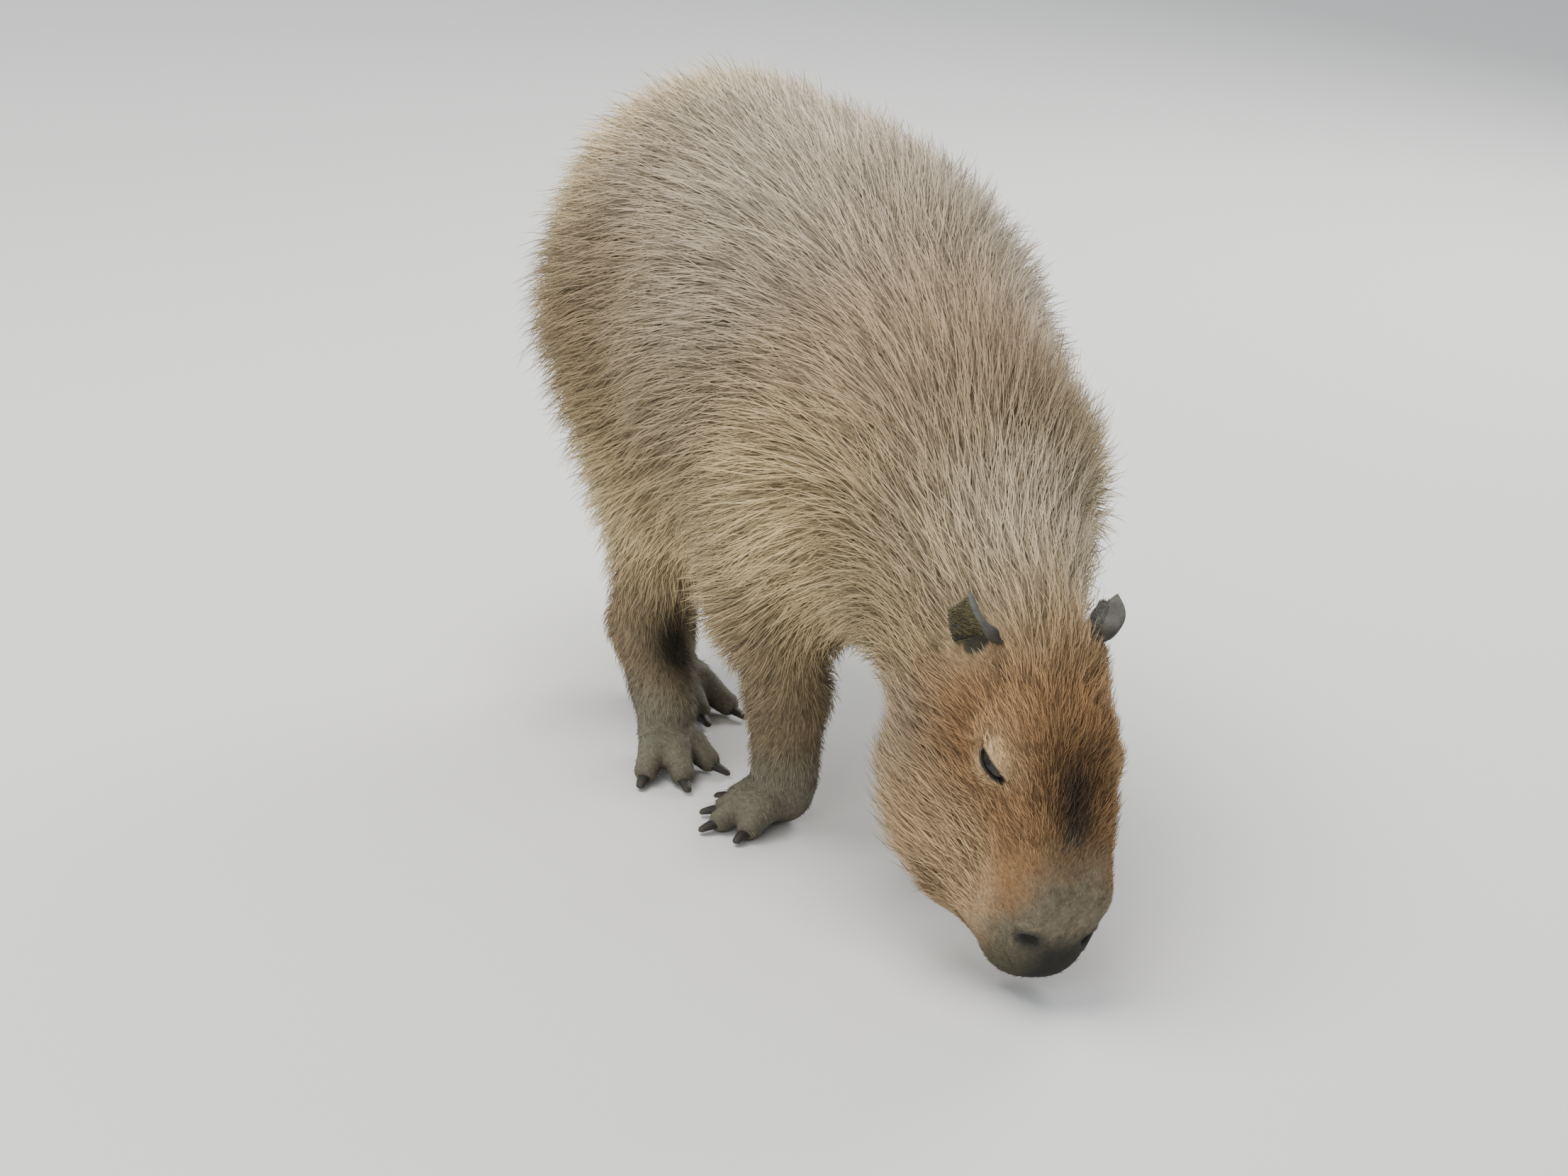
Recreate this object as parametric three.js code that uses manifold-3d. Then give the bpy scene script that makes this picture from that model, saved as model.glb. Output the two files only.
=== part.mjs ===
// A grown capybara standing with its head down to the ground, life size.
// Millimetres.  The animal faces -Y, its left side is +X and up is +Z.
// The shape is a field of distances: round limbs, ovals and rounded blocks that flow into each
// other.  The coat is a second surface outside it, and each named part is cut from the whole.
import * as THREE from "three";
import Module from "manifold-3d";

const wasm = await Module();
wasm.setup();
const { Manifold, Mesh } = wasm;

// Driving dimensions

const GAP = 0.3; // free space between neighbouring parts

// places are [forward, to the left, up] from a point on the floor under the middle of the trunk
const RUMP = { at: [-162, 0, 386], size: [132, 156, 148] };
const BARREL = { at: [-20, 5, 364], size: [157, 185, 170] };
const BELLY = { at: [60, 0, 333], size: [150, 165, 160] };
const CHEST = { at: [188, -8, 320], size: [104, 130, 132] };
const TRUNK_FLOW = 60; // how widely the trunk's ovals run into each other
const NECK = { from: [232, -12, 318], fromRadius: 96, toHead: [24, 0, -78], toRadius: 64, flow: 60 };

// the head has its own frame: [toward the nose, to its left, toward the brow] from the poll
const POLL = [460, -23, 274];
const HEAD_PITCH = 69.6; // degrees that the face hangs below level
const HEAD_YAW = 8.6; // degrees that it turns to the animal's right
const HEAD_ROLL = -13.4; // degrees that it tips about its own length
const HEAD_FLOW = 40;
const BRAINCASE = { at: [58, 0, -52], size: [64, 80, 60] };
const BRIDGE = { at: [140, 0, -28], size: [50, 85, 46], round: 29, flow: 28 };
const NOSE = { at: [215, 3.5, -43], size: [40, 48, 42], round: 32, flow: 20 };
const JAWS = { at: [120, 0, -98], size: [47, 95, 35], round: 28, flow: 30 };
const CHIN = { at: [186, 2, -88], size: [31, 48, 25], flow: 18 };
const CHEEK = { at: [98, 31, -88], size: [40, 86, 50], flow: 25 };
const BROW = { at: [90, 45, -13], size: [15, 30, 14], flow: 12 };

const EYE = { at: [97, 49.5, -12], radius: 15 };
const LID_THICK = 3.2;
const LID_SLIT = { half: 18.5, open: 3.4, turn: -33 }; // the eye is half shut
const NOSTRIL = { at: [233, 28, -5], size: [5.5, 9, 8], turn: 35 };
const MOUTH = { behind: 196, wide: 50, long: 58, up: -77, drop: 15, depth: 10, gap: 2.6, turn: 112 };
const LIP_CLEFT = { top: -28, bottom: -84, wide: 2.4, depth: 5 };

// an ear's opening runs from the front rim's base to its tip, over the back rim's corner to that rim's base
const EAR = {
  front: [4, 53, -5],
  back: [3, 69, -41],
  corner: [-21, 76, -39],
  tips: { left: [-30, 70, -17], right: [-36, 70, -17] },
  cup: 15,
  bow: 9,
  notch: 2.5,
  thick: 4.2,
  below: 0.35,
  plug: 10,
  room: 0.8,
  hollow: { at: [0, 66, -24], near: 22, far: 50, least: 0.12 }, // the coat is short round the ear
};

// every leg runs through its joints; the toes' places are the tips of their claws
const HIND_RIGHT = {
  side: -1,
  joints: [[-150, -60, 350], [-36, -100, 248], [-60, -103, 102], [0, -108, 42]],
  radii: [92, 56, 30, 25],
  toes: [[68, -162, 11], [86, -125, 11], [58, -72, 11]],
};
const HIND_LEFT = {
  side: 1,
  joints: [[-195, 56, 350], [-140, 40, 250], [-196, -20, 98], [-140, -36, 38]],
  radii: [90, 56, 28, 22],
  toes: [[-106, 18, 11], [-60, 4, 11], [-50, -38, 11]],
};
const FORE_RIGHT = {
  side: -1,
  joints: [[190, -76, 310], [142, -94, 195], [153, -78, 113], [152, -71, 36]],
  radii: [68, 47, 31, 27],
  toes: [[98, -106, 10], [130, -136, 10], [166, -154, 10], [196, -136, 10]],
};
const FORE_LEFT = {
  side: 1,
  joints: [[208, 58, 310], [204, 80, 195], [228, 80, 113], [246, 76, 36]],
  radii: [68, 47, 30, 26],
  toes: [[286, 112, 10], [308, 96, 10], [310, 74, 10], [296, 56, 10]],
};
const LEG_FLOW = 40;
const TOE = { root: 17, tip: 10, flow: 7 };
const CLAW = { long: 22, wide: 6.2, high: 5, beyond: 22, taper: 0.5, up: 7.5 };

// depth of the coat, and where it changes; the core of the long coat reaches less than half way
const COAT = { trunk: 34, leg: 4, legTop: 80, fullAt: 230, poll: 13, brow: 8, cheek: 12, muzzle: 2.5 };

const CORE_SHARE = 0.45;
const LONG_COAT = { from: 140, full: 225 }; // heights between which the coat turns into locks
const LOCKS = {
  seed: 4021,
  apart: 73,
  long: 112,
  wide: 33,
  deep: 7,
  levels: [0.25, 0.62, 0.9, 1],
  at: [0, 0.36, 0.72, 1],
  widths: [0.8, 1, 0.66],
};

// where one part ends and the next begins
const HEAD_CUT = { at: [-43, 0, 15], slope: [0.85, 0, 0.526] };
const NECK_CUT = { at: [292, -6, 300], slope: [0.95, -0.03, -0.3] };
const FORE_TOP = 205;
const HIND_TOP = 214;
const HIND_SPLIT = -62; // how far left the hind legs' blocks of space meet
const WRIST_CUT = 58;
const HOCK_CUT = 66;

// widths of the mesh's cells
const CELLS = { torso: 40, neck: 34, head: 15.6, leg: 20, foot: 11.8 };

// Vectors

const add = (a, b) => [a[0] + b[0], a[1] + b[1], a[2] + b[2]];
const sub = (a, b) => [a[0] - b[0], a[1] - b[1], a[2] - b[2]];
const times = (a, s) => [a[0] * s, a[1] * s, a[2] * s];
const dot = (a, b) => a[0] * b[0] + a[1] * b[1] + a[2] * b[2];
const long = (a) => Math.sqrt(dot(a, a));
const unit = (a) => times(a, 1 / long(a));
const cross = (a, b) => [a[1] * b[2] - a[2] * b[1], a[2] * b[0] - a[0] * b[2], a[0] * b[1] - a[1] * b[0]];
const rad = (degrees) => (degrees * Math.PI) / 180;
const clamp = (x, lo, hi) => Math.min(hi, Math.max(lo, x));
const ramp = (x, lo, hi) => {
  const t = clamp((x - lo) / (hi - lo), 0, 1);
  return t * t * (3 - 2 * t);
};

// a place given as [forward, left, up] in the frame of the part
const place = ([forward, left, up]) => [left, -forward, up];

// The head's frame

function headAxes() {
  const p = rad(HEAD_PITCH);
  const y = rad(HEAD_YAW);
  const r = rad(HEAD_ROLL);
  const nose = [-Math.sin(y) * Math.cos(p), -Math.cos(y) * Math.cos(p), -Math.sin(p)];
  const brow = [-Math.sin(y) * Math.sin(p), -Math.cos(y) * Math.sin(p), Math.cos(p)];
  const left = cross(brow, nose);
  return {
    nose,
    left: add(times(left, Math.cos(r)), times(brow, Math.sin(r))),
    brow: sub(times(brow, Math.cos(r)), times(left, Math.sin(r))),
  };
}
const HEAD = headAxes();
const POLL_AT = place(POLL);

const headDirection = ([f, l, u]) => add(add(times(HEAD.nose, f), times(HEAD.left, l)), times(HEAD.brow, u));
const headPlace = (at) => add(POLL_AT, headDirection(at));
// the same point in the head's frame, as [left, toward the nose, toward the brow]
const inHead = (p) => {
  const d = sub(p, POLL_AT);
  return [dot(d, HEAD.left), dot(d, HEAD.nose), dot(d, HEAD.brow)];
};
const swap = ([f, l, u]) => [l, f, u];

// Fields

function join(a, b, flow) {
  const h = Math.max(flow - Math.abs(a - b), 0) / flow;
  return Math.min(a, b) - (h * h * flow) / 4;
}

function oval(p, at, size) {
  const d = sub(p, at);
  const k0 = long([d[0] / size[0], d[1] / size[1], d[2] / size[2]]);
  const k1 = long([d[0] / size[0] ** 2, d[1] / size[1] ** 2, d[2] / size[2] ** 2]);
  return k1 < 1e-9 ? -Math.min(...size) : (k0 * (k0 - 1)) / k1;
}

function block(p, at, size, round) {
  const q = sub(p, at).map((x, i) => Math.abs(x) - size[i] + round);
  return long(q.map((x) => Math.max(x, 0))) + Math.min(Math.max(...q), 0) - round;
}

// a limb with a round end of its own size at each joint
function limb(p, a, b, ra, rb) {
  const ab = sub(b, a);
  const l = long(ab);
  const d = times(ab, 1 / l);
  const pa = sub(p, a);
  const x = dot(pa, d);
  const y = Math.sqrt(Math.max(dot(pa, pa) - x * x, 0));
  const s = (ra - rb) / l;
  const c = Math.sqrt(Math.max(1 - s * s, 0));
  const k = (x - (y * s) / c) / l;
  const t = clamp(k, 0, 1);
  return Math.hypot(x - t * l, y) - (ra + (rb - ra) * t);
}

function headField(q) {
  let d = oval(q, swap(BRAINCASE.at), BRAINCASE.size);
  d = join(d, block(q, swap(BRIDGE.at), BRIDGE.size, BRIDGE.round), BRIDGE.flow);
  d = join(d, block(q, swap(NOSE.at), NOSE.size, NOSE.round), NOSE.flow);
  d = join(d, block(q, swap(JAWS.at), JAWS.size, JAWS.round), JAWS.flow);
  d = join(d, oval(q, swap(CHIN.at), CHIN.size), CHIN.flow);
  for (const side of [1, -1]) {
    const [cf, cl, cu] = CHEEK.at;
    const [bf, bl, bu] = BROW.at;
    d = join(d, oval(q, [cl * side, cf, cu], CHEEK.size), CHEEK.flow);
    d = join(d, oval(q, [bl * side, bf, bu], BROW.size), BROW.flow);
  }
  return d;
}

function trunkField(p) {
  let d = oval(p, place(RUMP.at), RUMP.size);
  for (const o of [BARREL, BELLY, CHEST]) d = join(d, oval(p, place(o.at), o.size), TRUNK_FLOW);
  const toHead = headPlace(NECK.toHead);
  return join(d, limb(p, place(NECK.from), toHead, NECK.fromRadius, NECK.toRadius), NECK.flow);
}

// the middle of a toe's round end, and the level way from the leg's last joint to the toe
function toeEnd(leg, k) {
  const tip = place(leg.toes[k]);
  const root = place(leg.joints[3]);
  const way = unit([tip[0] - root[0], tip[1] - root[1], 0]);
  return { end: sub(tip, times(way, CLAW.beyond)), way };
}

function legField(p, leg) {
  const [a, b, c, e] = leg.joints.map(place);
  let d = limb(p, a, b, leg.radii[0], leg.radii[1]);
  d = join(d, limb(p, b, c, leg.radii[1] * 0.86, leg.radii[2]), 30);
  d = join(d, limb(p, c, e, leg.radii[2], leg.radii[3]), 16);
  const low = [e[0], e[1], Math.min(e[2] - 6, 24)];
  for (const { end } of leg.ends) {
    const knuckle = add(add(times(low, 0.42), times(end, 0.58)), [0, 0, 5]);
    const one = join(limb(p, low, knuckle, TOE.root + 3, TOE.tip + 3), limb(p, knuckle, end, TOE.tip + 3, TOE.tip), 4);
    d = join(d, one, TOE.flow);
  }
  return d;
}

const LEGS = { foreleg_left: FORE_LEFT, foreleg_right: FORE_RIGHT, hindleg_left: HIND_LEFT, hindleg_right: HIND_RIGHT };
for (const leg of Object.values(LEGS)) leg.ends = leg.toes.map((_, k) => toeEnd(leg, k));

function fleshField(p) {
  let d = trunkField(p);
  d = join(d, headField(inHead(p)), HEAD_FLOW);
  for (const leg of Object.values(LEGS)) d = join(d, legField(p, leg), LEG_FLOW);
  return d;
}

// how deep the coat is over a point of the skin
function coatDepth(p) {
  const [l, f, u] = inHead(p);
  const body = COAT.leg + (COAT.trunk - COAT.leg) * ramp(p[2], COAT.legTop, COAT.fullAt);
  const low = ramp(-u, 40, 110);
  const face = COAT.brow + (COAT.cheek - COAT.brow) * low;
  let head = COAT.poll + (face - COAT.poll) * ramp(f, -10, 60);
  head += (COAT.trunk - head) * low * (1 - ramp(f, 0, 70));
  head += (COAT.muzzle - head) * ramp(f, 150, 235);
  const eye = Math.hypot(Math.abs(l) - EYE.at[1], f - EYE.at[0], u - EYE.at[2]);
  head *= 1 - 0.75 * Math.exp(-((eye / 24) ** 2));
  const onHead = ramp(f + 0.45 * (u - 15), -60, 20);
  const { at, near, far, least } = EAR.hollow;
  const fromEar = Math.hypot(Math.abs(l) - at[1], f - at[0], u - at[2]);
  return (body + (head - body) * onHead) * (least + (1 - least) * ramp(fromEar, near, far));
}

const outerField = (p) => fleshField(p) - coatDepth(p);

// 1 where the coat is long enough to be made of locks
function shaggy(p) {
  const [, f, u] = inHead(p);
  return ramp(p[2], LONG_COAT.from, LONG_COAT.full) * (1 - ramp(f + 0.62 * (u - 15), -75, -43));
}

// the surface that the locks grow from, and that is the coat itself where there are none
const coreField = (p) => fleshField(p) - coatDepth(p) * (1 - (1 - CORE_SHARE) * shaggy(p));

// From a field to a closed mesh

function gradient(field, p) {
  const e = 0.5;
  const at = (x, y, z) => field([p[0] + x, p[1] + y, p[2] + z]);
  return [at(e, 0, 0) - at(-e, 0, 0), at(0, e, 0) - at(0, -e, 0), at(0, 0, e) - at(0, 0, -e)].map((v) => v / (2 * e));
}

// One vertex in each cell that the surface crosses, pulled onto it, and one square round each
// crossed edge of the grid.
function surfaceOf(field, low, high, cell) {
  const n = [0, 1, 2].map((i) => Math.ceil((high[i] - low[i]) / cell) + 1);
  const index = (i, j, k) => (k * n[1] + j) * n[0] + i;
  const point = (i, j, k) => [low[0] + i * cell, low[1] + j * cell, low[2] + k * cell];
  const value = new Float64Array(n[0] * n[1] * n[2]);
  for (let k = 0; k < n[2]; k++)
    for (let j = 0; j < n[1]; j++)
      for (let i = 0; i < n[0]; i++) {
        const rim = i === 0 || j === 0 || k === 0 || i === n[0] - 1 || j === n[1] - 1 || k === n[2] - 1;
        const v = field(point(i, j, k));
        value[index(i, j, k)] = rim ? Math.max(v, cell * 0.5) : v;
      }
  const corner = [];
  for (let c = 0; c < 8; c++) corner.push([c & 1, (c >> 1) & 1, (c >> 2) & 1]);
  const edges = [];
  for (let a = 0; a < 8; a++) for (const step of [1, 2, 4]) if (!(a & step)) edges.push([a, a | step]);
  const vertexAt = new Int32Array(value.length).fill(-1);
  const vertices = [];
  for (let k = 0; k < n[2] - 1; k++)
    for (let j = 0; j < n[1] - 1; j++)
      for (let i = 0; i < n[0] - 1; i++) {
        const v = corner.map(([x, y, z]) => value[index(i + x, j + y, k + z)]);
        let sum = [0, 0, 0];
        let count = 0;
        for (const [a, b] of edges) {
          if (v[a] < 0 === v[b] < 0) continue;
          const t = v[a] / (v[a] - v[b]);
          const pa = corner[a];
          const pb = corner[b];
          sum = add(sum, [0, 1, 2].map((m) => pa[m] + (pb[m] - pa[m]) * t));
          count++;
        }
        if (!count) continue;
        let p = add(point(i, j, k), times(sum, cell / count));
        const middle = p;
        for (let turn = 0; turn < 3; turn++) {
          const g = gradient(field, p);
          const gg = Math.max(dot(g, g), 0.04);
          p = sub(p, times(g, field(p) / gg));
        }
        const moved = sub(p, middle);
        const far = long(moved);
        if (far > cell * 0.5) p = add(middle, times(moved, (cell * 0.5) / far));
        vertexAt[index(i, j, k)] = vertices.length / 3;
        vertices.push(...p);
      }
  const faces = [];
  const at = (k) => [vertices[3 * k], vertices[3 * k + 1], vertices[3 * k + 2]];
  const square = (a, b, c, d, turned) => {
    const q = turned ? [a, d, c, b] : [a, b, c, d];
    const one = long(sub(at(q[0]), at(q[2])));
    const two = long(sub(at(q[1]), at(q[3])));
    if (one <= two) faces.push(q[0], q[1], q[2], q[0], q[2], q[3]);
    else faces.push(q[0], q[1], q[3], q[1], q[2], q[3]);
  };
  for (let k = 0; k < n[2] - 1; k++)
    for (let j = 0; j < n[1] - 1; j++)
      for (let i = 0; i < n[0] - 1; i++) {
        const here = value[index(i, j, k)] < 0;
        const V = (x, y, z) => vertexAt[index(i + x, j + y, k + z)];
        if (j && k && here !== value[index(i + 1, j, k)] < 0)
          square(V(0, -1, -1), V(0, 0, -1), V(0, 0, 0), V(0, -1, 0), !here);
        if (i && k && here !== value[index(i, j + 1, k)] < 0)
          square(V(-1, 0, -1), V(-1, 0, 0), V(0, 0, 0), V(0, 0, -1), !here);
        if (i && j && here !== value[index(i, j, k + 1)] < 0)
          square(V(-1, -1, 0), V(0, -1, 0), V(0, 0, 0), V(-1, 0, 0), !here);
      }
  return closed(vertices, faces);
}

function closed(vertices, faces) {
  const made = new Mesh({
    numProp: 3,
    vertProperties: new Float32Array(vertices),
    triVerts: new Uint32Array(faces),
  });
  made.merge();
  const solid = new Manifold(made);
  if (solid.volume() > 0) return solid;
  const turned = new Uint32Array(faces);
  for (let i = 0; i < turned.length; i += 3) [turned[i + 1], turned[i + 2]] = [turned[i + 2], turned[i + 1]];
  const again = new Mesh({ numProp: 3, vertProperties: new Float32Array(vertices), triVerts: turned });
  again.merge();
  return new Manifold(again);
}

function solidOf(geometry) {
  const index = geometry.index
    ? Array.from(geometry.index.array)
    : Array.from({ length: geometry.attributes.position.count }, (_, i) => i);
  return closed(Array.from(geometry.attributes.position.array), index);
}

// the same solid with its vertices on a fine grid, so that no sliver is thinner than the grid
function settled(solid) {
  const { vertProperties, triVerts, numProp } = solid.getMesh();
  for (const grid of [0.02, 0.05, 0.013, 0.1, 0.008]) {
    const seen = new Map();
    const vertices = [];
    const renamed = [];
    for (let i = 0; i < vertProperties.length; i += numProp) {
      const p = [0, 1, 2].map((j) => Math.round(vertProperties[i + j] / grid));
      const key = p.join(",");
      if (!seen.has(key)) {
        seen.set(key, vertices.length / 3);
        vertices.push(...p.map((v) => v * grid));
      }
      renamed.push(seen.get(key));
    }
    const kept = new Map();
    for (let i = 0; i < triVerts.length; i += 3) {
      const t = [0, 1, 2].map((j) => renamed[triVerts[i + j]]);
      if (t[0] === t[1] || t[1] === t[2] || t[2] === t[0]) continue;
      const key = [...t].sort((a, b) => a - b).join(",");
      if (kept.has(key)) kept.delete(key);
      else kept.set(key, t);
    }
    const edges = new Map();
    for (const t of kept.values())
      for (let j = 0; j < 3; j++) {
        const key = t[j] + "," + t[(j + 1) % 3];
        edges.set(key, (edges.get(key) || 0) + 1);
      }
    const sound = [...edges].every(([key, n]) => n === 1 && edges.get(key.split(",").reverse().join(",")) === 1);
    if (sound) return closed(vertices, [...kept.values()].flat());
  }
  return solid;
}

const largest = (solid) => solid.decompose().sort((a, b) => b.volume() - a.volume())[0];

function box(low, high) {
  const size = sub(high, low);
  const g = new THREE.BoxGeometry(...size);
  g.translate(...add(low, times(size, 0.5)));
  return solidOf(g);
}

// an oval lump in the head's frame, turned about the direction it looks in
function headOval(at, size, looks, turn, detail = 16) {
  const z = unit(headDirection(looks));
  const along = headDirection([1, 0, 0]);
  const x0 = unit(sub(along, times(z, dot(along, z))));
  const y0 = cross(z, x0);
  const c = Math.cos(rad(turn));
  const s = Math.sin(rad(turn));
  const x = add(times(x0, c), times(y0, s));
  const y = cross(z, x);
  const g = new THREE.SphereGeometry(1, detail, Math.round(detail * 0.7));
  const m = new THREE.Matrix4().makeBasis(
    new THREE.Vector3(...times(x, size[0])),
    new THREE.Vector3(...times(y, size[1])),
    new THREE.Vector3(...times(z, size[2])),
  );
  m.setPosition(...headPlace(at));
  g.applyMatrix4(m);
  return solidOf(g);
}

const mirror = ([f, l, u], side) => [f, l * side, u];

// Ears

// the place on an ear's middle sheet, from the back rim (s = -1) to the front rim (s = 1) and from base to top
function earPlace(side, v, s) {
  const at = (p) => headPlace(mirror(p, side));
  const mix = (a, b, t) => add(times(a, 1 - t), times(b, t));
  const [front, back, corner] = [at(EAR.front), at(EAR.back), at(EAR.corner)];
  const tip = at(side > 0 ? EAR.tips.left : EAR.tips.right);
  const k = (s + 1) / 2;
  const up = sub(mix(corner, tip, 0.5), mix(back, front, 0.5));
  const outward = times(unit(cross(sub(front, back), up)), -side);
  const t = clamp(v, 0, 1);
  const bow = EAR.bow * k * k * Math.sin(Math.PI * t);
  const deep = EAR.cup * (1 - s * s) * (1 - 0.5 * t * t);
  const sink = 28 * Math.max(-v, 0);
  const notch = EAR.notch * Math.exp(-(((s - 0.45) / 0.25) ** 2)) * ramp(v, 0.6, 1);
  const blunt = 0.14 * ramp(v, 0.6, 1) * s ** 6;
  const p = mix(mix(back, front, k), mix(corner, tip, k), v);
  const centre = mix(mix(back, front, 0.5), mix(corner, tip, 0.5), 0.6);
  return add(mix(p, centre, blunt), add(times(outward, bow - deep - sink), times(unit(up), -notch)));
}

// a cupped leaf of even thickness, with a plug that sits in the head
function ear(side, grown) {
  const rows = 6;
  const columns = 7;
  const thick = EAR.thick / 2;
  const vertices = [];
  const faceList = [];
  const leaf = (sign) => {
    for (let r = 0; r <= rows; r++)
      for (let c = 0; c <= columns; c++) {
        const v = -EAR.below + (1 + EAR.below) * (r / rows);
        const s = -1 + (2 * c) / columns;
        const p = earPlace(side, v, s);
        const along = unit(sub(earPlace(side, v + 0.02, s), earPlace(side, v - 0.02, s)));
        const across = unit(sub(earPlace(side, v, s + 0.02), earPlace(side, v, s - 0.02)));
        const n = times(unit(cross(across, along)), -side);
        const edge = Math.sqrt(Math.max(1 - s ** 4, 0)) * (r === rows ? 0.15 : 1);
        const longer = r === rows ? grown : r === 0 ? -grown : 0;
        const wider = Math.abs(s) === 1 ? s * grown : 0;
        const out = sign * (thick * Math.max(edge, 0.12) + grown);
        vertices.push(...add(p, add(times(n, out), add(times(along, longer), times(across, wider)))));
      }
  };
  leaf(1);
  leaf(-1);
  const w = columns + 1;
  const back = (rows + 1) * w;
  for (let r = 0; r < rows; r++)
    for (let c = 0; c < columns; c++) {
      const a = r * w + c;
      faceList.push(a, a + 1, a + w + 1, a, a + w + 1, a + w);
      const b = a + back;
      faceList.push(b, b + w + 1, b + 1, b, b + w, b + w + 1);
    }
  const rim = [];
  for (let c = 0; c < columns; c++) rim.push(c);
  for (let r = 0; r < rows; r++) rim.push(r * w + columns);
  for (let c = columns; c > 0; c--) rim.push(rows * w + c);
  for (let r = rows; r > 0; r--) rim.push(r * w);
  rim.forEach((a, i) => {
    const b = rim[(i + 1) % rim.length];
    faceList.push(a, a + back, b + back, a, b + back, b);
  });
  const shell = closed(vertices, faceList);
  const plug = new THREE.SphereGeometry(EAR.plug + grown, 12, 8);
  plug.translate(...add(earPlace(side, -0.1, 0), sub(earPlace(side, -0.1, 0), earPlace(side, 0.1, 0))));
  return shell.add(solidOf(plug));
}

// Claws

// a blunt tapered nail, flat below
function claw({ end, way }, grown) {
  const at = [end[0], end[1], CLAW.up];
  const across = [-way[1], way[0], 0];
  const rings = 4;
  const round = 6;
  const vertices = [];
  const faces = [];
  for (let r = 0; r <= rings; r++) {
    const t = r / rings;
    const size = (1 - CLAW.taper * t ** 1.6) * (r === rings ? 0.62 : 1);
    const along = CLAW.beyond - CLAW.long * (1 - t) + (t === 0 ? -grown : t === 1 ? grown : 0);
    const drop = 3.4 * t * t;
    for (let c = 0; c < round; c++) {
      const a = (c / round) * 2 * Math.PI;
      const x = Math.cos(a) * (CLAW.wide * size + grown);
      const z = Math.sin(a) * (CLAW.high * size + grown) * (Math.sin(a) < 0 ? 0.7 : 1);
      vertices.push(...add(add(at, times(way, along)), add(times(across, x), [0, 0, z - drop])));
    }
  }
  for (let r = 0; r < rings; r++)
    for (let c = 0; c < round; c++) {
      const a = r * round + c;
      const b = r * round + ((c + 1) % round);
      faces.push(a, b, b + round, a, b + round, a + round);
    }
  for (let c = 1; c < round - 1; c++) {
    faces.push(0, c + 1, c);
    faces.push(rings * round, rings * round + c, rings * round + c + 1);
  }
  return closed(vertices, faces);
}

// The mouth

// a thin curved sheet round the muzzle, cut out to leave the line between the lips
function mouthSheet() {
  const steps = 18;
  const vertices = [];
  const faces = [];
  for (let i = 0; i <= steps; i++) {
    const a = rad(-MOUTH.turn + (2 * MOUTH.turn * i) / steps);
    const f = Math.cos(a);
    const l = Math.sin(a);
    const up = MOUTH.up - MOUTH.drop * (1 - f) * 0.5;
    const fade = Math.min(1, 0.35 + 3 * (1 - Math.abs(a) / rad(MOUTH.turn)));
    for (const [far, rise] of [[0.5, 1], [1.6, 1], [1.6, -1], [0.5, -1]]) {
      const inner = 1 - ((MOUTH.depth * fade) / MOUTH.wide) * 1.4;
      const out = far < 1 ? inner : far;
      const at = [MOUTH.behind + MOUTH.long * f * out, MOUTH.wide * l * out, up + (rise * MOUTH.gap * fade) / 2];
      vertices.push(...headPlace(at));
    }
  }
  for (let i = 0; i < steps; i++)
    for (let c = 0; c < 4; c++) {
      const a = i * 4 + c;
      const b = i * 4 + ((c + 1) % 4);
      faces.push(a, b, b + 4, a, b + 4, a + 4);
    }
  faces.push(0, 2, 1, 0, 3, 2);
  const e = steps * 4;
  faces.push(e, e + 1, e + 2, e, e + 2, e + 3);
  return closed(vertices, faces);
}

// the upright cleft under the nose
function lipCleft() {
  const front = NOSE.at[0] + NOSE.size[1] + COAT.muzzle;
  const vertices = [];
  for (const u of [LIP_CLEFT.top, LIP_CLEFT.bottom])
    for (const [f, l] of [[front + 8, 1], [front + 8, -1], [front - LIP_CLEFT.depth, -0.2], [front - LIP_CLEFT.depth, 0.2]])
      vertices.push(...headPlace([f, l * LIP_CLEFT.wide, u]));
  const faces = [0, 2, 1, 0, 3, 2, 4, 5, 6, 4, 6, 7];
  for (let c = 0; c < 4; c++) {
    const d = (c + 1) % 4;
    faces.push(c, d, d + 4, c, d + 4, c + 4);
  }
  return closed(vertices, faces);
}

// Locks of the coat

function seeded(seed) {
  let s = seed;
  return () => {
    s = (s * 1664525 + 1013904223) % 4294967296;
    return s / 4294967296;
  };
}

// a point pulled to where the flesh is that share of the coat's depth away
function onLevel(p, share) {
  let q = p;
  for (let turn = 0; turn < 3; turn++) {
    const g = gradient(fleshField, q);
    const gg = Math.max(dot(g, g), 0.1);
    q = sub(q, times(g, (fleshField(q) - share * coatDepth(q)) / gg));
  }
  return q;
}

// the way the coat lies: up the neck, along the back to the tail, and down the sides
function lie(p, n) {
  const neck = ramp(-p[1], 200, 330) * ramp(n[2], -0.2, 0.4);
  const low = 1 - ramp(p[2], 200, 430);
  const down = -0.12 - 0.75 * Math.abs(n[0]) - 0.25 * low;
  const way = [0, 1 - 0.14 * neck, down + (0.5 - down) * neck];
  return unit(sub(way, times(n, dot(way, n))));
}

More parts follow.
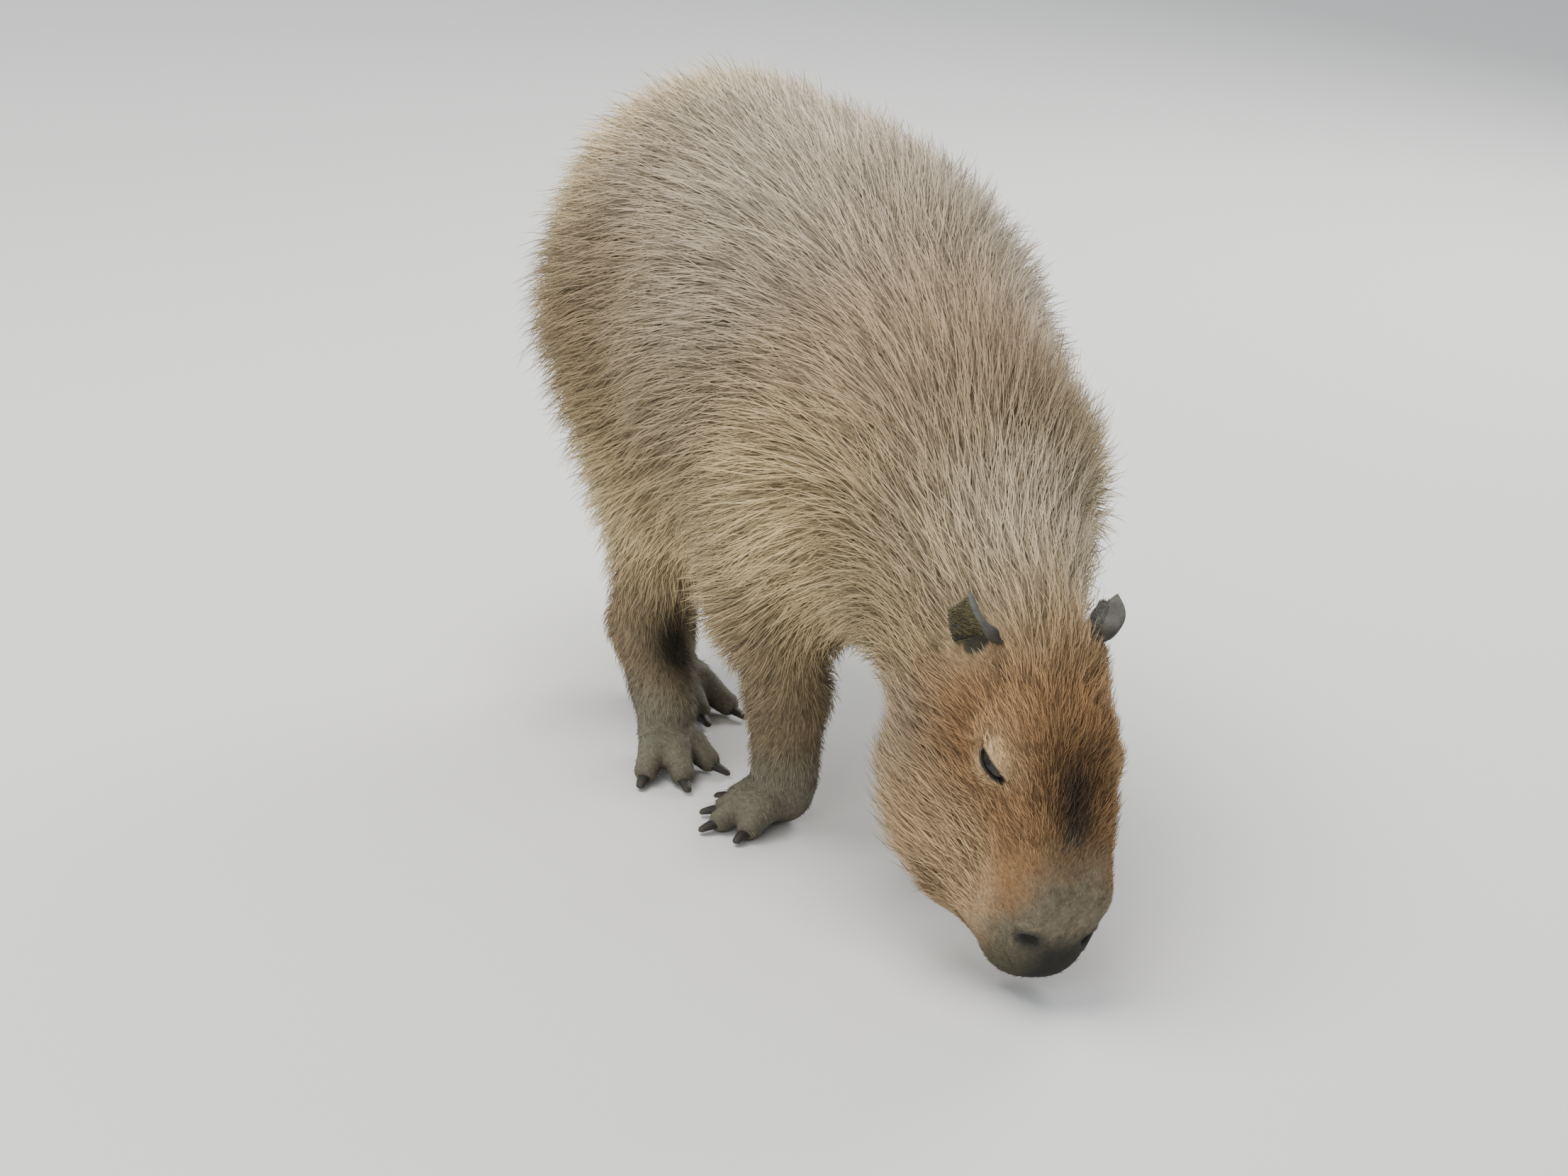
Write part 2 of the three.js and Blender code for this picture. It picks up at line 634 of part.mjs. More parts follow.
// a flat tapered lock that starts inside the core and bends along the coat to its tip
function lock(root, random) {
  const size = 0.85 + 0.3 * random();
  const veer = 0.5 * (random() - 0.5);
  const vertices = [];
  let p = root;
  let before = 0;
  LOCKS.at.forEach((t, i) => {
    const n = unit(gradient(fleshField, p));
    const straight = lie(p, n);
    const way = unit(add(straight, times(cross(n, straight), veer)));
    p = onLevel(add(p, times(way, (t - before) * LOCKS.long * size)), LOCKS.levels[i]);
    before = t;
    if (i === LOCKS.at.length - 1) {
      vertices.push(...p);
      return;
    }
    const across = cross(n, way);
    const wide = LOCKS.wide * size * LOCKS.widths[i];
    const deep = times(n, -LOCKS.deep * (1 - 0.5 * t));
    vertices.push(...p);
    vertices.push(...add(add(p, times(across, wide)), deep));
    vertices.push(...add(add(p, times(across, -wide)), deep));
  });
  const faces = [0, 1, 2];
  const last = 3 * (LOCKS.at.length - 2);
  for (let r = 0; r < last; r += 3)
    for (let c = 0; c < 3; c++) {
      const d = (c + 1) % 3;
      faces.push(r + c, r + 3 + d, r + d, r + c, r + 3 + c, r + 3 + d);
    }
  for (let c = 0; c < 3; c++) faces.push(last + c, last + 3, last + ((c + 1) % 3));
  return closed(vertices, faces);
}

// locks spread evenly over the long coat
function locks() {
  const random = seeded(LOCKS.seed);
  const low = [-220, -430, 130];
  const high = [220, 330, 560];
  const roots = [];
  for (let i = 0; i < 9000; i++) {
    const start = low.map((v, j) => v + (high[j] - v) * random());
    if (Math.abs(fleshField(start)) > 60) continue;
    const p = onLevel(start, LOCKS.levels[0]);
    if (shaggy(p) < 0.6 || roots.some((r) => long(sub(r, p)) < LOCKS.apart)) continue;
    roots.push(p);
  }
  return roots.map((root) => lock(root, random));
}

// Regions

function headPlane() {
  const normal = unit(headDirection(HEAD_CUT.slope));
  return { normal, offset: dot(normal, headPlace(HEAD_CUT.at)) };
}
function neckPlane() {
  const normal = unit(place(NECK_CUT.slope));
  return { normal, offset: dot(normal, place(NECK_CUT.at)) };
}
const beyond = (solid, { normal, offset }) => solid.trimByPlane(normal, offset + GAP / 2);
const before = (solid, { normal, offset }) => solid.trimByPlane(times(normal, -1), -offset + GAP / 2);

// the upright block of space that holds one leg below the body
function legRegion(leg, top) {
  const points = [...leg.joints.slice(1).map((j, i) => [place(j), leg.radii[i + 1] + 26]), ...leg.toes.map((t) => [place(t), 30])];
  const low = [0, 1].map((i) => Math.min(...points.map(([p, r]) => p[i] - r)));
  const high = [0, 1].map((i) => Math.max(...points.map(([p, r]) => p[i] + r)));
  return { low: [...low, -10], high: [...high, top] };
}

const REGIONS = {
  foreleg_left: legRegion(FORE_LEFT, FORE_TOP),
  foreleg_right: legRegion(FORE_RIGHT, FORE_TOP),
  hindleg_left: legRegion(HIND_LEFT, HIND_TOP),
  hindleg_right: legRegion(HIND_RIGHT, HIND_TOP),
};

// neighbouring blocks meet half way, so that no space is in two of them
function part2(a, b) {
  const A = REGIONS[a];
  const B = REGIONS[b];
  let best = null;
  for (const i of [0, 1])
    for (const sign of [1, -1]) {
      const [p, q] = sign > 0 ? [A, B] : [B, A];
      const over = p.high[i] - q.low[i];
      if (over <= 0) return;
      if (best === null || over < best.over) best = { over, i, p, q };
    }
  const middle = (best.p.high[best.i] + best.q.low[best.i]) / 2;
  best.p.high[best.i] = middle;
  best.q.low[best.i] = middle;
}
part2("foreleg_left", "foreleg_right");
REGIONS.hindleg_left.low[0] = HIND_SPLIT;
REGIONS.hindleg_right.high[0] = HIND_SPLIT;
part2("foreleg_right", "hindleg_right");

// Making the parts

const shrunk = ({ low, high }, by) => box(add(low, [by, by, by]), sub(high, [by, by, by]));
const grownBox = ({ low, high }, by) => box(sub(low, [by, by, by]), add(high, [by, by, by]));

function body() {
  const parts = {};
  const coat = Manifold.union(locks());
  const legBoxes = Object.values(REGIONS).map((r) => grownBox(r, GAP / 2));
  const apart = (solid) => legBoxes.reduce((s, b) => s.subtract(b), solid);

  const trunk = surfaceOf(coreField, [-260, -340, 90], [260, 400, 640], CELLS.torso).add(coat);
  parts.torso = largest(apart(before(trunk, neckPlane())));

  const neck = surfaceOf(coreField, [-200, -470, 100], [190, -180, 520], CELLS.neck).add(coat);
  parts.neck = largest(apart(before(beyond(neck, neckPlane()), headPlane())));

  const head = surfaceOf(outerField, [-160, -600, -20], [120, -280, 350], CELLS.head);
  parts.head = largest(apart(beyond(head, headPlane())));
  return parts;
}

function legs() {
  const parts = {};
  for (const [name, leg] of Object.entries(LEGS)) {
    const region = REGIONS[name];
    const cut = name.startsWith("fore") ? WRIST_CUT : HOCK_CUT;
    const foot = name.replace("leg", "foot");
    const inside = shrunk(region, GAP / 2);
    const m = 40;
    const low = sub(region.low, [m, m, m]);
    const high = add(region.high, [m, m, m]);
    const upper = surfaceOf(coreField, [low[0], low[1], cut - 50], high, CELLS.leg);
    let top = upper.intersect(inside);
    if (name === "foreleg_left") top = before(top, headPlane());
    parts[name] = largest(top.trimByPlane([0, 0, 1], cut + GAP / 2));
    const lower = surfaceOf(outerField, [low[0], low[1], -30], [high[0], high[1], cut + 30], CELLS.foot);
    const sole = lower.intersect(inside).trimByPlane([0, 0, 1], 0);
    parts[foot] = largest(sole.trimByPlane([0, 0, -1], -cut + GAP / 2));
    leg.ends.forEach((toe, k) => {
      parts[foot] = parts[foot].subtract(claw(toe, GAP));
      parts["claw_" + foot.replace("foot", "") + "_" + (k + 1)] = claw(toe, 0);
    });
    parts[foot] = largest(parts[foot]);
  }
  return parts;
}

function face({ head, neck }) {
  const parts = {};
  let solid = head;
  let nape = neck;
  for (const side of [1, -1]) {
    const name = side > 0 ? "left" : "right";
    const looks = mirror([0.1, 0.86, 0.5], side);
    const at = mirror(EYE.at, side);
    const lidRadius = EYE.radius + LID_THICK;
    solid = solid.add(headOval(at, [lidRadius, lidRadius, lidRadius], looks, 0, 14));
    const socket = EYE.radius + GAP;
    solid = solid.subtract(headOval(at, [socket, socket, socket], looks, 0, 12));
    const out = at.map((v, i) => v + looks[i] * (EYE.radius + 4));
    solid = solid.subtract(headOval(out, [LID_SLIT.half, LID_SLIT.open, 16], looks, LID_SLIT.turn * side, 14));
    parts["eye_" + name] = headOval(at, [EYE.radius, EYE.radius, EYE.radius], looks, 0, 12);
    const hole = mirror(NOSTRIL.at, side);
    solid = solid.subtract(headOval(hole, NOSTRIL.size, mirror([0.75, 0.55, 0.35], side), NOSTRIL.turn * side, 12));
    parts["ear_" + name] = largest(ear(side, 0));
    solid = solid.subtract(ear(side, EAR.room));
    nape = nape.subtract(ear(side, EAR.room));
  }
  solid = solid.subtract(mouthSheet());
  solid = solid.subtract(lipCleft());
  parts.head = largest(solid);
  parts.neck = largest(nape);
  return parts;
}

// Colours

const COLOURS = {
  coat: [0x8f7a5c, 0.95],
  head: [0x8a6a48, 0.95],
  ear: [0x4f4d4a, 0.85],
  eye: [0x17110d, 0.2],
  foot: [0x6a6156, 0.9],
  claw: [0x2a2623, 0.5],
};

function colourOf(name) {
  if (name === "head") return "head";
  if (name.startsWith("ear")) return "ear";
  if (name.startsWith("eye")) return "eye";
  if (name.startsWith("claw")) return "claw";
  if (name.includes("foot")) return "foot";
  return "coat";
}

function meshOf(name, solid, shift) {
  const { vertProperties, triVerts, numProp } = solid.getMesh();
  const count = vertProperties.length / numProp;
  const positions = new Float32Array(count * 3);
  for (let i = 0; i < count; i++)
    for (let j = 0; j < 3; j++) positions[3 * i + j] = vertProperties[numProp * i + j] + shift[j];
  const geometry = new THREE.BufferGeometry();
  geometry.setAttribute("position", new THREE.BufferAttribute(positions, 3));
  geometry.setIndex(new THREE.BufferAttribute(new Uint32Array(triVerts), 1));
  geometry.computeVertexNormals();
  const [color, roughness] = COLOURS[colourOf(name)];
  const mesh = new THREE.Mesh(geometry, new THREE.MeshStandardMaterial({ color, roughness, metalness: 0 }));
  mesh.name = name;
  return mesh;
}

function everything() {
  const parts = { ...body(), ...legs() };
  Object.assign(parts, face(parts));
  for (const name of Object.keys(parts)) parts[name] = settled(parts[name]);
  const boxes = Object.values(parts).map((s) => s.boundingBox());
  const low = [0, 1, 2].map((i) => Math.min(...boxes.map((b) => b.min[i])));
  const high = [0, 1, 2].map((i) => Math.max(...boxes.map((b) => b.max[i])));
  const shift = [-(low[0] + high[0]) / 2, -(low[1] + high[1]) / 2, -low[2]];
  const group = new THREE.Group();
  for (const [name, solid] of Object.entries(parts)) group.add(meshOf(name, solid, shift));
  return group;
}

const group = everything();

export default group;
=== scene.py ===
"""The looks of a life-size capybara model that stands with its head down.

The skin is one mesh, taken from the same smooth field of rounds and ovals as the solids, with
lids, nostrils, lips and toes. The coat is made of curved hairs with three sides, rooted on the
skin and laid along the body. Sizes are in millimetres until a mesh is made.
"""

import math

import bpy
import numpy as np
from mathutils import Matrix, Vector


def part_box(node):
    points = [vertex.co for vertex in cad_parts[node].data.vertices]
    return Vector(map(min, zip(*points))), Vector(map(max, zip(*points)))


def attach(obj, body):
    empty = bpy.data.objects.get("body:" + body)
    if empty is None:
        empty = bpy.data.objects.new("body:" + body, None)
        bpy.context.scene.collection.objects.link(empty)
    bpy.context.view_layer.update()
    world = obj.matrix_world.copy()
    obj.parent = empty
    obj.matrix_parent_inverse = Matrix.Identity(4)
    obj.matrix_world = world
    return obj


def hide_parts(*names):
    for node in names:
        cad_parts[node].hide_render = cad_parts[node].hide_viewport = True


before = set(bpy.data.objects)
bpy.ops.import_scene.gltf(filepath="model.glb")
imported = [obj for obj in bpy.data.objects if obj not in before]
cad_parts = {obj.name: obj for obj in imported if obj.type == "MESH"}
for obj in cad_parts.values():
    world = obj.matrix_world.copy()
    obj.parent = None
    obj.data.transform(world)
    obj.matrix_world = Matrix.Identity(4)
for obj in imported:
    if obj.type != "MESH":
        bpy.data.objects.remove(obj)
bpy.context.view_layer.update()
SEED = 20714
SIDES = {1: "left", -1: "right"}

# The trunk and neck: places are [left, backward, up] from the floor under the middle of the trunk
RUMP = {"at": (0, 162, 386), "size": (132, 156, 148)}
BARREL = {"at": (5, 20, 364), "size": (157, 185, 170)}
BELLY = {"at": (0, -60, 333), "size": (150, 165, 160)}
CHEST = {"at": (-8, -188, 320), "size": (104, 130, 132)}
TRUNK_FLOW = 60
NECK = {"from": (-12, -232, 318), "radius": 96, "to_head": (24, 0, -78), "to_radius": 64, "flow": 60}

# The head has its own frame: [toward the nose, to its left, toward the brow] from the poll
POLL = np.array((-23.0, -460.0, 274.0))
HEAD_PITCH, HEAD_YAW, HEAD_ROLL = 69.6, 8.6, -13.4
HEAD_FLOW = 40
BRAINCASE = {"at": (58, 0, -52), "size": (64, 80, 60)}
BRIDGE = {"at": (140, 0, -28), "size": (50, 85, 46), "round": 29, "flow": 28}
NOSE = {"at": (215, 3.5, -43), "size": (40, 48, 42), "round": 37, "flow": 20}
JAWS = {"at": (120, 0, -98), "size": (47, 95, 35), "round": 28, "flow": 30}
CHIN = {"at": (186, 2, -88), "size": (31, 48, 25), "flow": 18}
CHEEK = {"at": (98, 31, -88), "size": (40, 86, 50), "flow": 25}
BROW = {"at": (90, 45, -13), "size": (15, 30, 14), "flow": 12}
EAR_MOUND = {"at": (14, 49, -28), "size": (14, 16, 17), "flow": 12}
EAR_CUP = {"at": (-6, 67, -24), "size": (17, 19, 15), "edge": 2.5}  # in front of the ear's leaf
EAR_COAT = {"at": (0, 66, -24), "near": 22, "far": 50}  # the coat is short round the ear
EAR = {"front": (4, 53, -5), "back": (3, 69, -41), "corner": (-21, 76, -39),
       "tips": {1: (-33, 71, -16), -1: (-39, 71, -16)}}
EAR_SIZE = {"cup": 15, "bow": 9, "notch": 2.5, "arch": 4.5, "thick": 3.4, "rim": 1.5, "knob": 2.8,
            "below": 0.35, "sink": 42}  # the sheet runs on below its base, and sinks into the head

# The face: the lids part over "half" and "open", in an oval that lies "out" from the eyeball
FACE = {"from": 40, "near": 30}  # the face is worked on past this, and so near to the surface
EYE = {"at": (97, 49.5, -12), "looks": (0.1, 0.86, 0.5), "turn": -33, "radius": 15, "lid": 2.6,
       "flow": 5, "half": 20, "open": 3.1, "deep": 15, "out": 4.0}
CREASE = {"out": 5.5, "wide": 2.2, "deep": 1.1}  # the round crease outside the lids
FOLD = {"bends": 17, "turn": 0.7, "middle": 26, "half": 9, "wide": 1.8, "deep": 2.2}
NOSTRIL = {"at": (233, 28, -5), "looks": (0.75, 0.55, 0.35), "turn": 38, "size": (4.2, 8.6, 7),
           "rim": 4, "swell": 1.5}
MOUTH = {"behind": 196, "long": 58, "wide": 50, "up": -77, "drop": 15, "gap": 1.8, "depth": 9,
         "corner": 176}
LIP = {"starts": 14, "out": 4.5, "wide": 3.5, "swell": 0.9}
CLEFT = {"from": 236, "half": 1.0, "high": 46, "deep": 4}

# Each leg runs through its joints, and a toe's place is the tip of its claw, [forward, left, up]
LEGS = {
    "hind_right": {
        "joints": [(-150, -60, 350), (-36, -100, 248), (-60, -103, 102), (0, -108, 42)],
        "radii": (92, 56, 30, 25),
        "toes": [(68, -162, 11), (86, -125, 11), (58, -72, 11)],
    },
    "hind_left": {
        "joints": [(-195, 56, 350), (-140, 40, 250), (-196, -20, 98), (-140, -36, 38)],
        "radii": (90, 56, 28, 22),
        "toes": [(-106, 18, 11), (-60, 4, 11), (-50, -38, 11)],
    },
    "fore_right": {
        "joints": [(190, -76, 310), (142, -94, 195), (153, -78, 113), (152, -71, 36)],
        "radii": (68, 47, 31, 27),
        "toes": [(98, -106, 10), (130, -136, 10), (166, -154, 10), (196, -136, 10)],
    },
    "fore_left": {
        "joints": [(208, 58, 310), (204, 80, 195), (228, 80, 113), (246, 76, 36)],
        "radii": (68, 47, 30, 26),
        "toes": [(286, 112, 10), (308, 96, 10), (310, 74, 10), (296, 56, 10)],
    },
}
LEG_FLOW = 40
CALF = {"thin": 0.86, "flow": 30}  # below the knee or elbow the leg starts this much thinner
FOOT = {"flow": 16, "under": 6, "most": 24}  # the toes leave from this far under the last joint
TOE = {"root": 17, "tip": 10, "flow": 7, "knuckle": 0.58, "rise": 5.0, "thick": 3, "bend": 4}
CLAW = {"long": 22, "wide": 6.2, "high": 5, "beyond": 22, "taper": 0.5, "up": 7.5, "droop": 3.4}

# The skin's mesh
SKIN_BOX = ((-225, -600, -24), (230, 330, 580))
SKIN_CELL = 3.6
COARSE = 4  # a coarse cell is this many skin cells
CORNERS = [(x, y, z) for x in (0, 1) for y in (0, 1) for z in (0, 1)]
BAND = 16.0  # the fine grid is worked out this near to the surface
FINEST = ((1.8, 0.95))  # edges at the eyes, nostrils and lips, turn by turn
LONGER = 1.3  # an edge is cut when it is this much longer than that
DETAIL = {"eye": 9, "nostril": 20, "lips": 7, "corner": 6}  # how far the fine skin reaches
LIPS_COARSER = 1.3  # an edge at the lips may be this much longer again

# The coat: each ring of a hair has its share of the length, its size and its lean, times the lift
HAIR_KINDS = {
    "coat_long": ((0.0, 1.0, 1.35), (0.36, 0.92, 0.9), (0.72, 0.55, 0.45)),
    "coat_short": ((0.0, 1.0, 1.25), (0.5, 0.78, 0.55)),
}
HAIR = {"spread": 0.22, "turn": 0.2, "lift_spread": 0.15, "width": (0.30, 0.54), "root": 1.2,
        "flat": 0.7, "above": 0.2}
LONG_FROM = 30  # hairs longer than this may be in the long pieces
LONG_SHARE = 0.35
MOST_FACES = 190000
EAR_HAIRS = 1700
EAR_RINGS = ((0.0, 1.0, 1.2, 0.7), (0.5, 0.8, 0.6, 0.85))  # with the tone as the last number
EAR_STRAND = {"width": 0.32, "lift": 0.3, "root": 0.3, "tip_tone": 1.25}
HAIR_ON_MAP = 0.003  # the size of a hair on the flat map


# Vectors and blends, each for many points at once
def size_of(a):
    return np.linalg.norm(a, axis=-1)


def unit(a):
    return a / np.maximum(size_of(a)[..., None], 1e-9)


def ramp(x, low, high):
    t = np.clip((x - low) / (high - low), 0, 1)
    return t * t * (3 - 2 * t)


def mix(a, b, t):
    return a + (b - a) * t


def bell(x, width=1.0):
    """1 where x is 0, falling to nothing on both sides within about twice that width."""
    return np.exp(-((x / width) ** 2))


def place(at):
    """[forward, left, up] to [left, backward, up]."""
    return np.array((at[1], -at[0], at[2]), float)


def head_axes():
    pitch, yaw, roll = (math.radians(v) for v in (HEAD_PITCH, HEAD_YAW, HEAD_ROLL))
    forward = np.array((-math.sin(yaw), -math.cos(yaw), 0))
    upward = np.array((0, 0, 1))
    nose = forward * math.cos(pitch) - upward * math.sin(pitch)
    brow = forward * math.sin(pitch) + upward * math.cos(pitch)
    left = np.cross(brow, nose)
    rolled = left * math.cos(roll) + brow * math.sin(roll)
    return np.array((rolled, nose, brow * math.cos(roll) - left * math.sin(roll)))


HEAD = head_axes()  # rows: left, toward the nose, toward the brow


def mirrored(at, side=1):
    """A place on one side of the head, as [left, toward the nose, toward the brow]."""
    return np.array((at[1] * side, at[0], at[2]), float)


def head_direction(at, side=1):
    return mirrored(at, side) @ HEAD


def head_place(at, side=1):
    return POLL + head_direction(at, side)


def in_head(p):
    """[left, toward the nose, toward the brow] of points."""
    return (p - POLL) @ HEAD.T


# Fields of distance
def join(a, b, flow):
    h = np.maximum(flow - np.abs(a - b), 0) / flow
    return np.minimum(a, b) - h * h * flow / 4


def cut(a, b, flow):
    """The solid a with the solid b taken out, with a softened edge."""
    return -join(-a, b, flow)


def oval(p, at, size):
    d = p - np.asarray(at, float)
    size = np.asarray(size, float)
    k0 = size_of(d / size)
    k1 = size_of(d / size**2)
    return k0 * (k0 - 1) / np.maximum(k1, 1e-9)


def block(p, at, size, rounding):
    q = np.abs(p - np.asarray(at, float)) - np.asarray(size, float) + rounding
    return size_of(np.maximum(q, 0)) + np.minimum(q.max(-1), 0) - rounding


def limb(p, a, b, ra, rb):
    a, b = np.asarray(a, float), np.asarray(b, float)
    length = np.linalg.norm(b - a)
    d = (b - a) / length
    pa = p - a
    x = pa @ d
    y = np.sqrt(np.maximum((pa * pa).sum(-1) - x * x, 0))
    s = (ra - rb) / length
    k = (x - y * s / math.sqrt(max(1 - s * s, 1e-6))) / length
    t = np.clip(k, 0, 1)
    return np.hypot(x - t * length, y) - (ra + (rb - ra) * t)


def head_field(q):
    d = oval(q, mirrored(BRAINCASE["at"]), BRAINCASE["size"])
    for piece in (BRIDGE, NOSE, JAWS):
        d = join(d, block(q, mirrored(piece["at"]), piece["size"], piece["round"]), piece["flow"])
    d = join(d, oval(q, mirrored(CHIN["at"]), CHIN["size"]), CHIN["flow"])
    for side in SIDES:
        for piece in (CHEEK, BROW):
            d = join(d, oval(q, mirrored(piece["at"], side), piece["size"]), piece["flow"])
    return d


def trunk_field(p):
    d = oval(p, RUMP["at"], RUMP["size"])
    for piece in (BARREL, BELLY, CHEST):
        d = join(d, oval(p, piece["at"], piece["size"]), TRUNK_FLOW)
    neck = limb(p, NECK["from"], head_place(NECK["to_head"]), NECK["radius"], NECK["to_radius"])
    return join(d, neck, NECK["flow"])


def toe_ends(leg):
    """The middle of each toe's round end, and the level way to it from the leg's last joint."""
    root = place(leg["joints"][3])
    ends = []
    for toe in leg["toes"]:
        tip = place(toe)
        way = unit(np.array((tip[0] - root[0], tip[1] - root[1], 0.0)))
        ends.append((tip - way * CLAW["beyond"], way))
    return ends


def leg_field(p, leg):
    hip, knee, hock, ankle = (place(joint) for joint in leg["joints"])
    at_hip, at_knee, at_hock, at_ankle = leg["radii"]
    d = limb(p, hip, knee, at_hip, at_knee)
    d = join(d, limb(p, knee, hock, at_knee * CALF["thin"], at_hock), CALF["flow"])
    d = join(d, limb(p, hock, ankle, at_hock, at_ankle), FOOT["flow"])
    low = np.array((ankle[0], ankle[1], min(ankle[2] - FOOT["under"], FOOT["most"])))
    middle = TOE["tip"] + TOE["thick"]
    for end, _ in toe_ends(leg):
        knuckle = low * (1 - TOE["knuckle"]) + end * TOE["knuckle"] + np.array((0, 0, TOE["rise"]))
        first = limb(p, low, knuckle, TOE["root"] + TOE["thick"], middle)
        second = limb(p, knuckle, end, middle, TOE["tip"])
        d = join(d, join(first, second, TOE["bend"]), TOE["flow"])
    return d


def flesh_field(p):
    d = join(trunk_field(p), head_field(in_head(p)), HEAD_FLOW)
    for leg in LEGS.values():
        d = join(d, leg_field(p, leg), LEG_FLOW)
    return d


def oval_frame(piece, side, turn=0):
    """The middle and three axes of an oval in the head's frame that looks one way and is turned."""
    z = unit(head_direction(piece["looks"], side))
    along = head_direction((1, 0, 0))
    x0 = unit(along - z * (along @ z))
    angle = math.radians(turn * side)
    x = x0 * math.cos(angle) + np.cross(z, x0) * math.sin(angle)
    return head_place(piece["at"], side), np.array((x, np.cross(z, x), z))


def mouth_line(q):
    """How far points of the head's frame are above the line between the lips."""
    around = (q[..., 1] - MOUTH["behind"]) / MOUTH["long"]
    beside = np.hypot(around, q[..., 0] / MOUTH["wide"])
    facing = np.clip(around / np.maximum(beside, 1e-3), -1, 1)
    return q[..., 2] - (MOUTH["up"] - MOUTH["drop"] * (1 - facing) * 0.5)


def eye_slit(p, side):
    """Points in the frame of the gap between the lids: along it, across it and outward."""
    middle, axes = oval_frame(EYE, side, EYE["turn"])
    return (p - middle) @ axes.T


def lid_gap(slit, wider=(0, 0, 0)):
    """The distance to the gap between the lids, or to a wider one."""
    size = np.array((EYE["half"], EYE["open"], EYE["deep"])) + wider
    return oval(slit - np.array((0, 0, EYE["radius"] + EYE["out"])), (0, 0, 0), size)


def nostril_far(p, side, wider=0):
    """The distance to a nostril, or to a wider one."""
    middle, axes = oval_frame(NOSTRIL, side, NOSTRIL["turn"])
    return oval((p - middle) @ axes.T, (0, 0, 0), np.array(NOSTRIL["size"]) + wider)


def ear_cup_far(q, side):
    """The distance to the hollow in front of an ear's leaf."""
    return oval(q, mirrored(EAR_CUP["at"], side), EAR_CUP["size"])


def eye_fold(slit, side):
    """The crease that runs on behind the lids, from 0 to 1."""
    beside = slit[:, 1] + side * FOLD["turn"] * np.maximum(-slit[:, 0] - FOLD["bends"], 0)
    along = np.maximum(np.abs(slit[:, 0] + FOLD["middle"]) - FOLD["half"], 0)
    return bell(np.hypot(beside, along), FOLD["wide"]) * (slit[:, 2] > 0)


def skin_field(p):
    """The flesh, with the lids, nostrils, lips and the creases of the face."""
    d = flesh_field(p)
    q = in_head(p)
    for side in SIDES:
        mound = oval(q, mirrored(EAR_MOUND["at"], side), EAR_MOUND["size"])
        d = join(d, mound, EAR_MOUND["flow"])
        d = cut(d, ear_cup_far(q, side), EAR_CUP["edge"])
    near = (q[..., 1] > FACE["from"]) & (d < FACE["near"])
    if not near.any():
        return d
    p, q, face = p[near], q[near], d[near]
    for side in SIDES:
        slit = eye_slit(p, side)
        face = join(face, size_of(slit) - EYE["radius"] - EYE["lid"], EYE["flow"])
        ring = np.abs(size_of(slit[:, :2]) - EYE["radius"] - CREASE["out"])
        face = face + CREASE["deep"] * bell(ring, CREASE["wide"]) * (slit[:, 2] > 0)
        face = face + FOLD["deep"] * eye_fold(slit, side)
        face = cut(face, lid_gap(slit), 1.0)
        rim = nostril_far(p, side, NOSTRIL["rim"])
        face = face - NOSTRIL["swell"] * bell(rim, NOSTRIL["rim"])
        face = cut(face, nostril_far(p, side), 2.0)
    above = mouth_line(q)
    front = ramp(q[:, 1], MOUTH["corner"], MOUTH["corner"] + LIP["starts"])
    face = face - LIP["swell"] * front * bell(np.abs(above) - LIP["out"], LIP["wide"])
    lips = np.maximum(np.abs(above) - MOUTH["gap"] / 2, -(face + MOUTH["depth"]))
    face = cut(face, np.maximum(lips, MOUTH["corner"] - q[:, 1]), 1.5)
    cleft = np.maximum(np.abs(q[:, 0]) - CLEFT["half"], -(face + CLEFT["deep"]))
    cleft = np.maximum(cleft, np.maximum(-above, above - CLEFT["high"]))
    face = cut(face, np.maximum(cleft, CLEFT["from"] - q[:, 1]), 2.0)
    d[near] = face
    return d


def in_chunks(field, p, size=400000):
    return np.concatenate([field(p[i : i + size]) for i in range(0, len(p), size)])


def slope(field, p, step=0.4):
    """The field's gradient at points."""
    out = np.zeros_like(p)
    for axis in range(3):
        move = np.zeros(3)
        move[axis] = step
        out[:, axis] = (in_chunks(field, p + move) - in_chunks(field, p - move)) / (2 * step)
    return out


def settle(field, p, turns=3, most=None):
    """Points pulled onto the field's surface."""
    start = p.copy()
    for _ in range(turns):
        g = slope(field, p)
        p = p - g * (in_chunks(field, p) / np.maximum((g * g).sum(1), 0.05))[:, None]
    if most is None:
        return p
    move = p - start
    far = np.linalg.norm(move, axis=1, keepdims=True)
    return start + move * np.minimum(1, most / np.maximum(far, 1e-9))


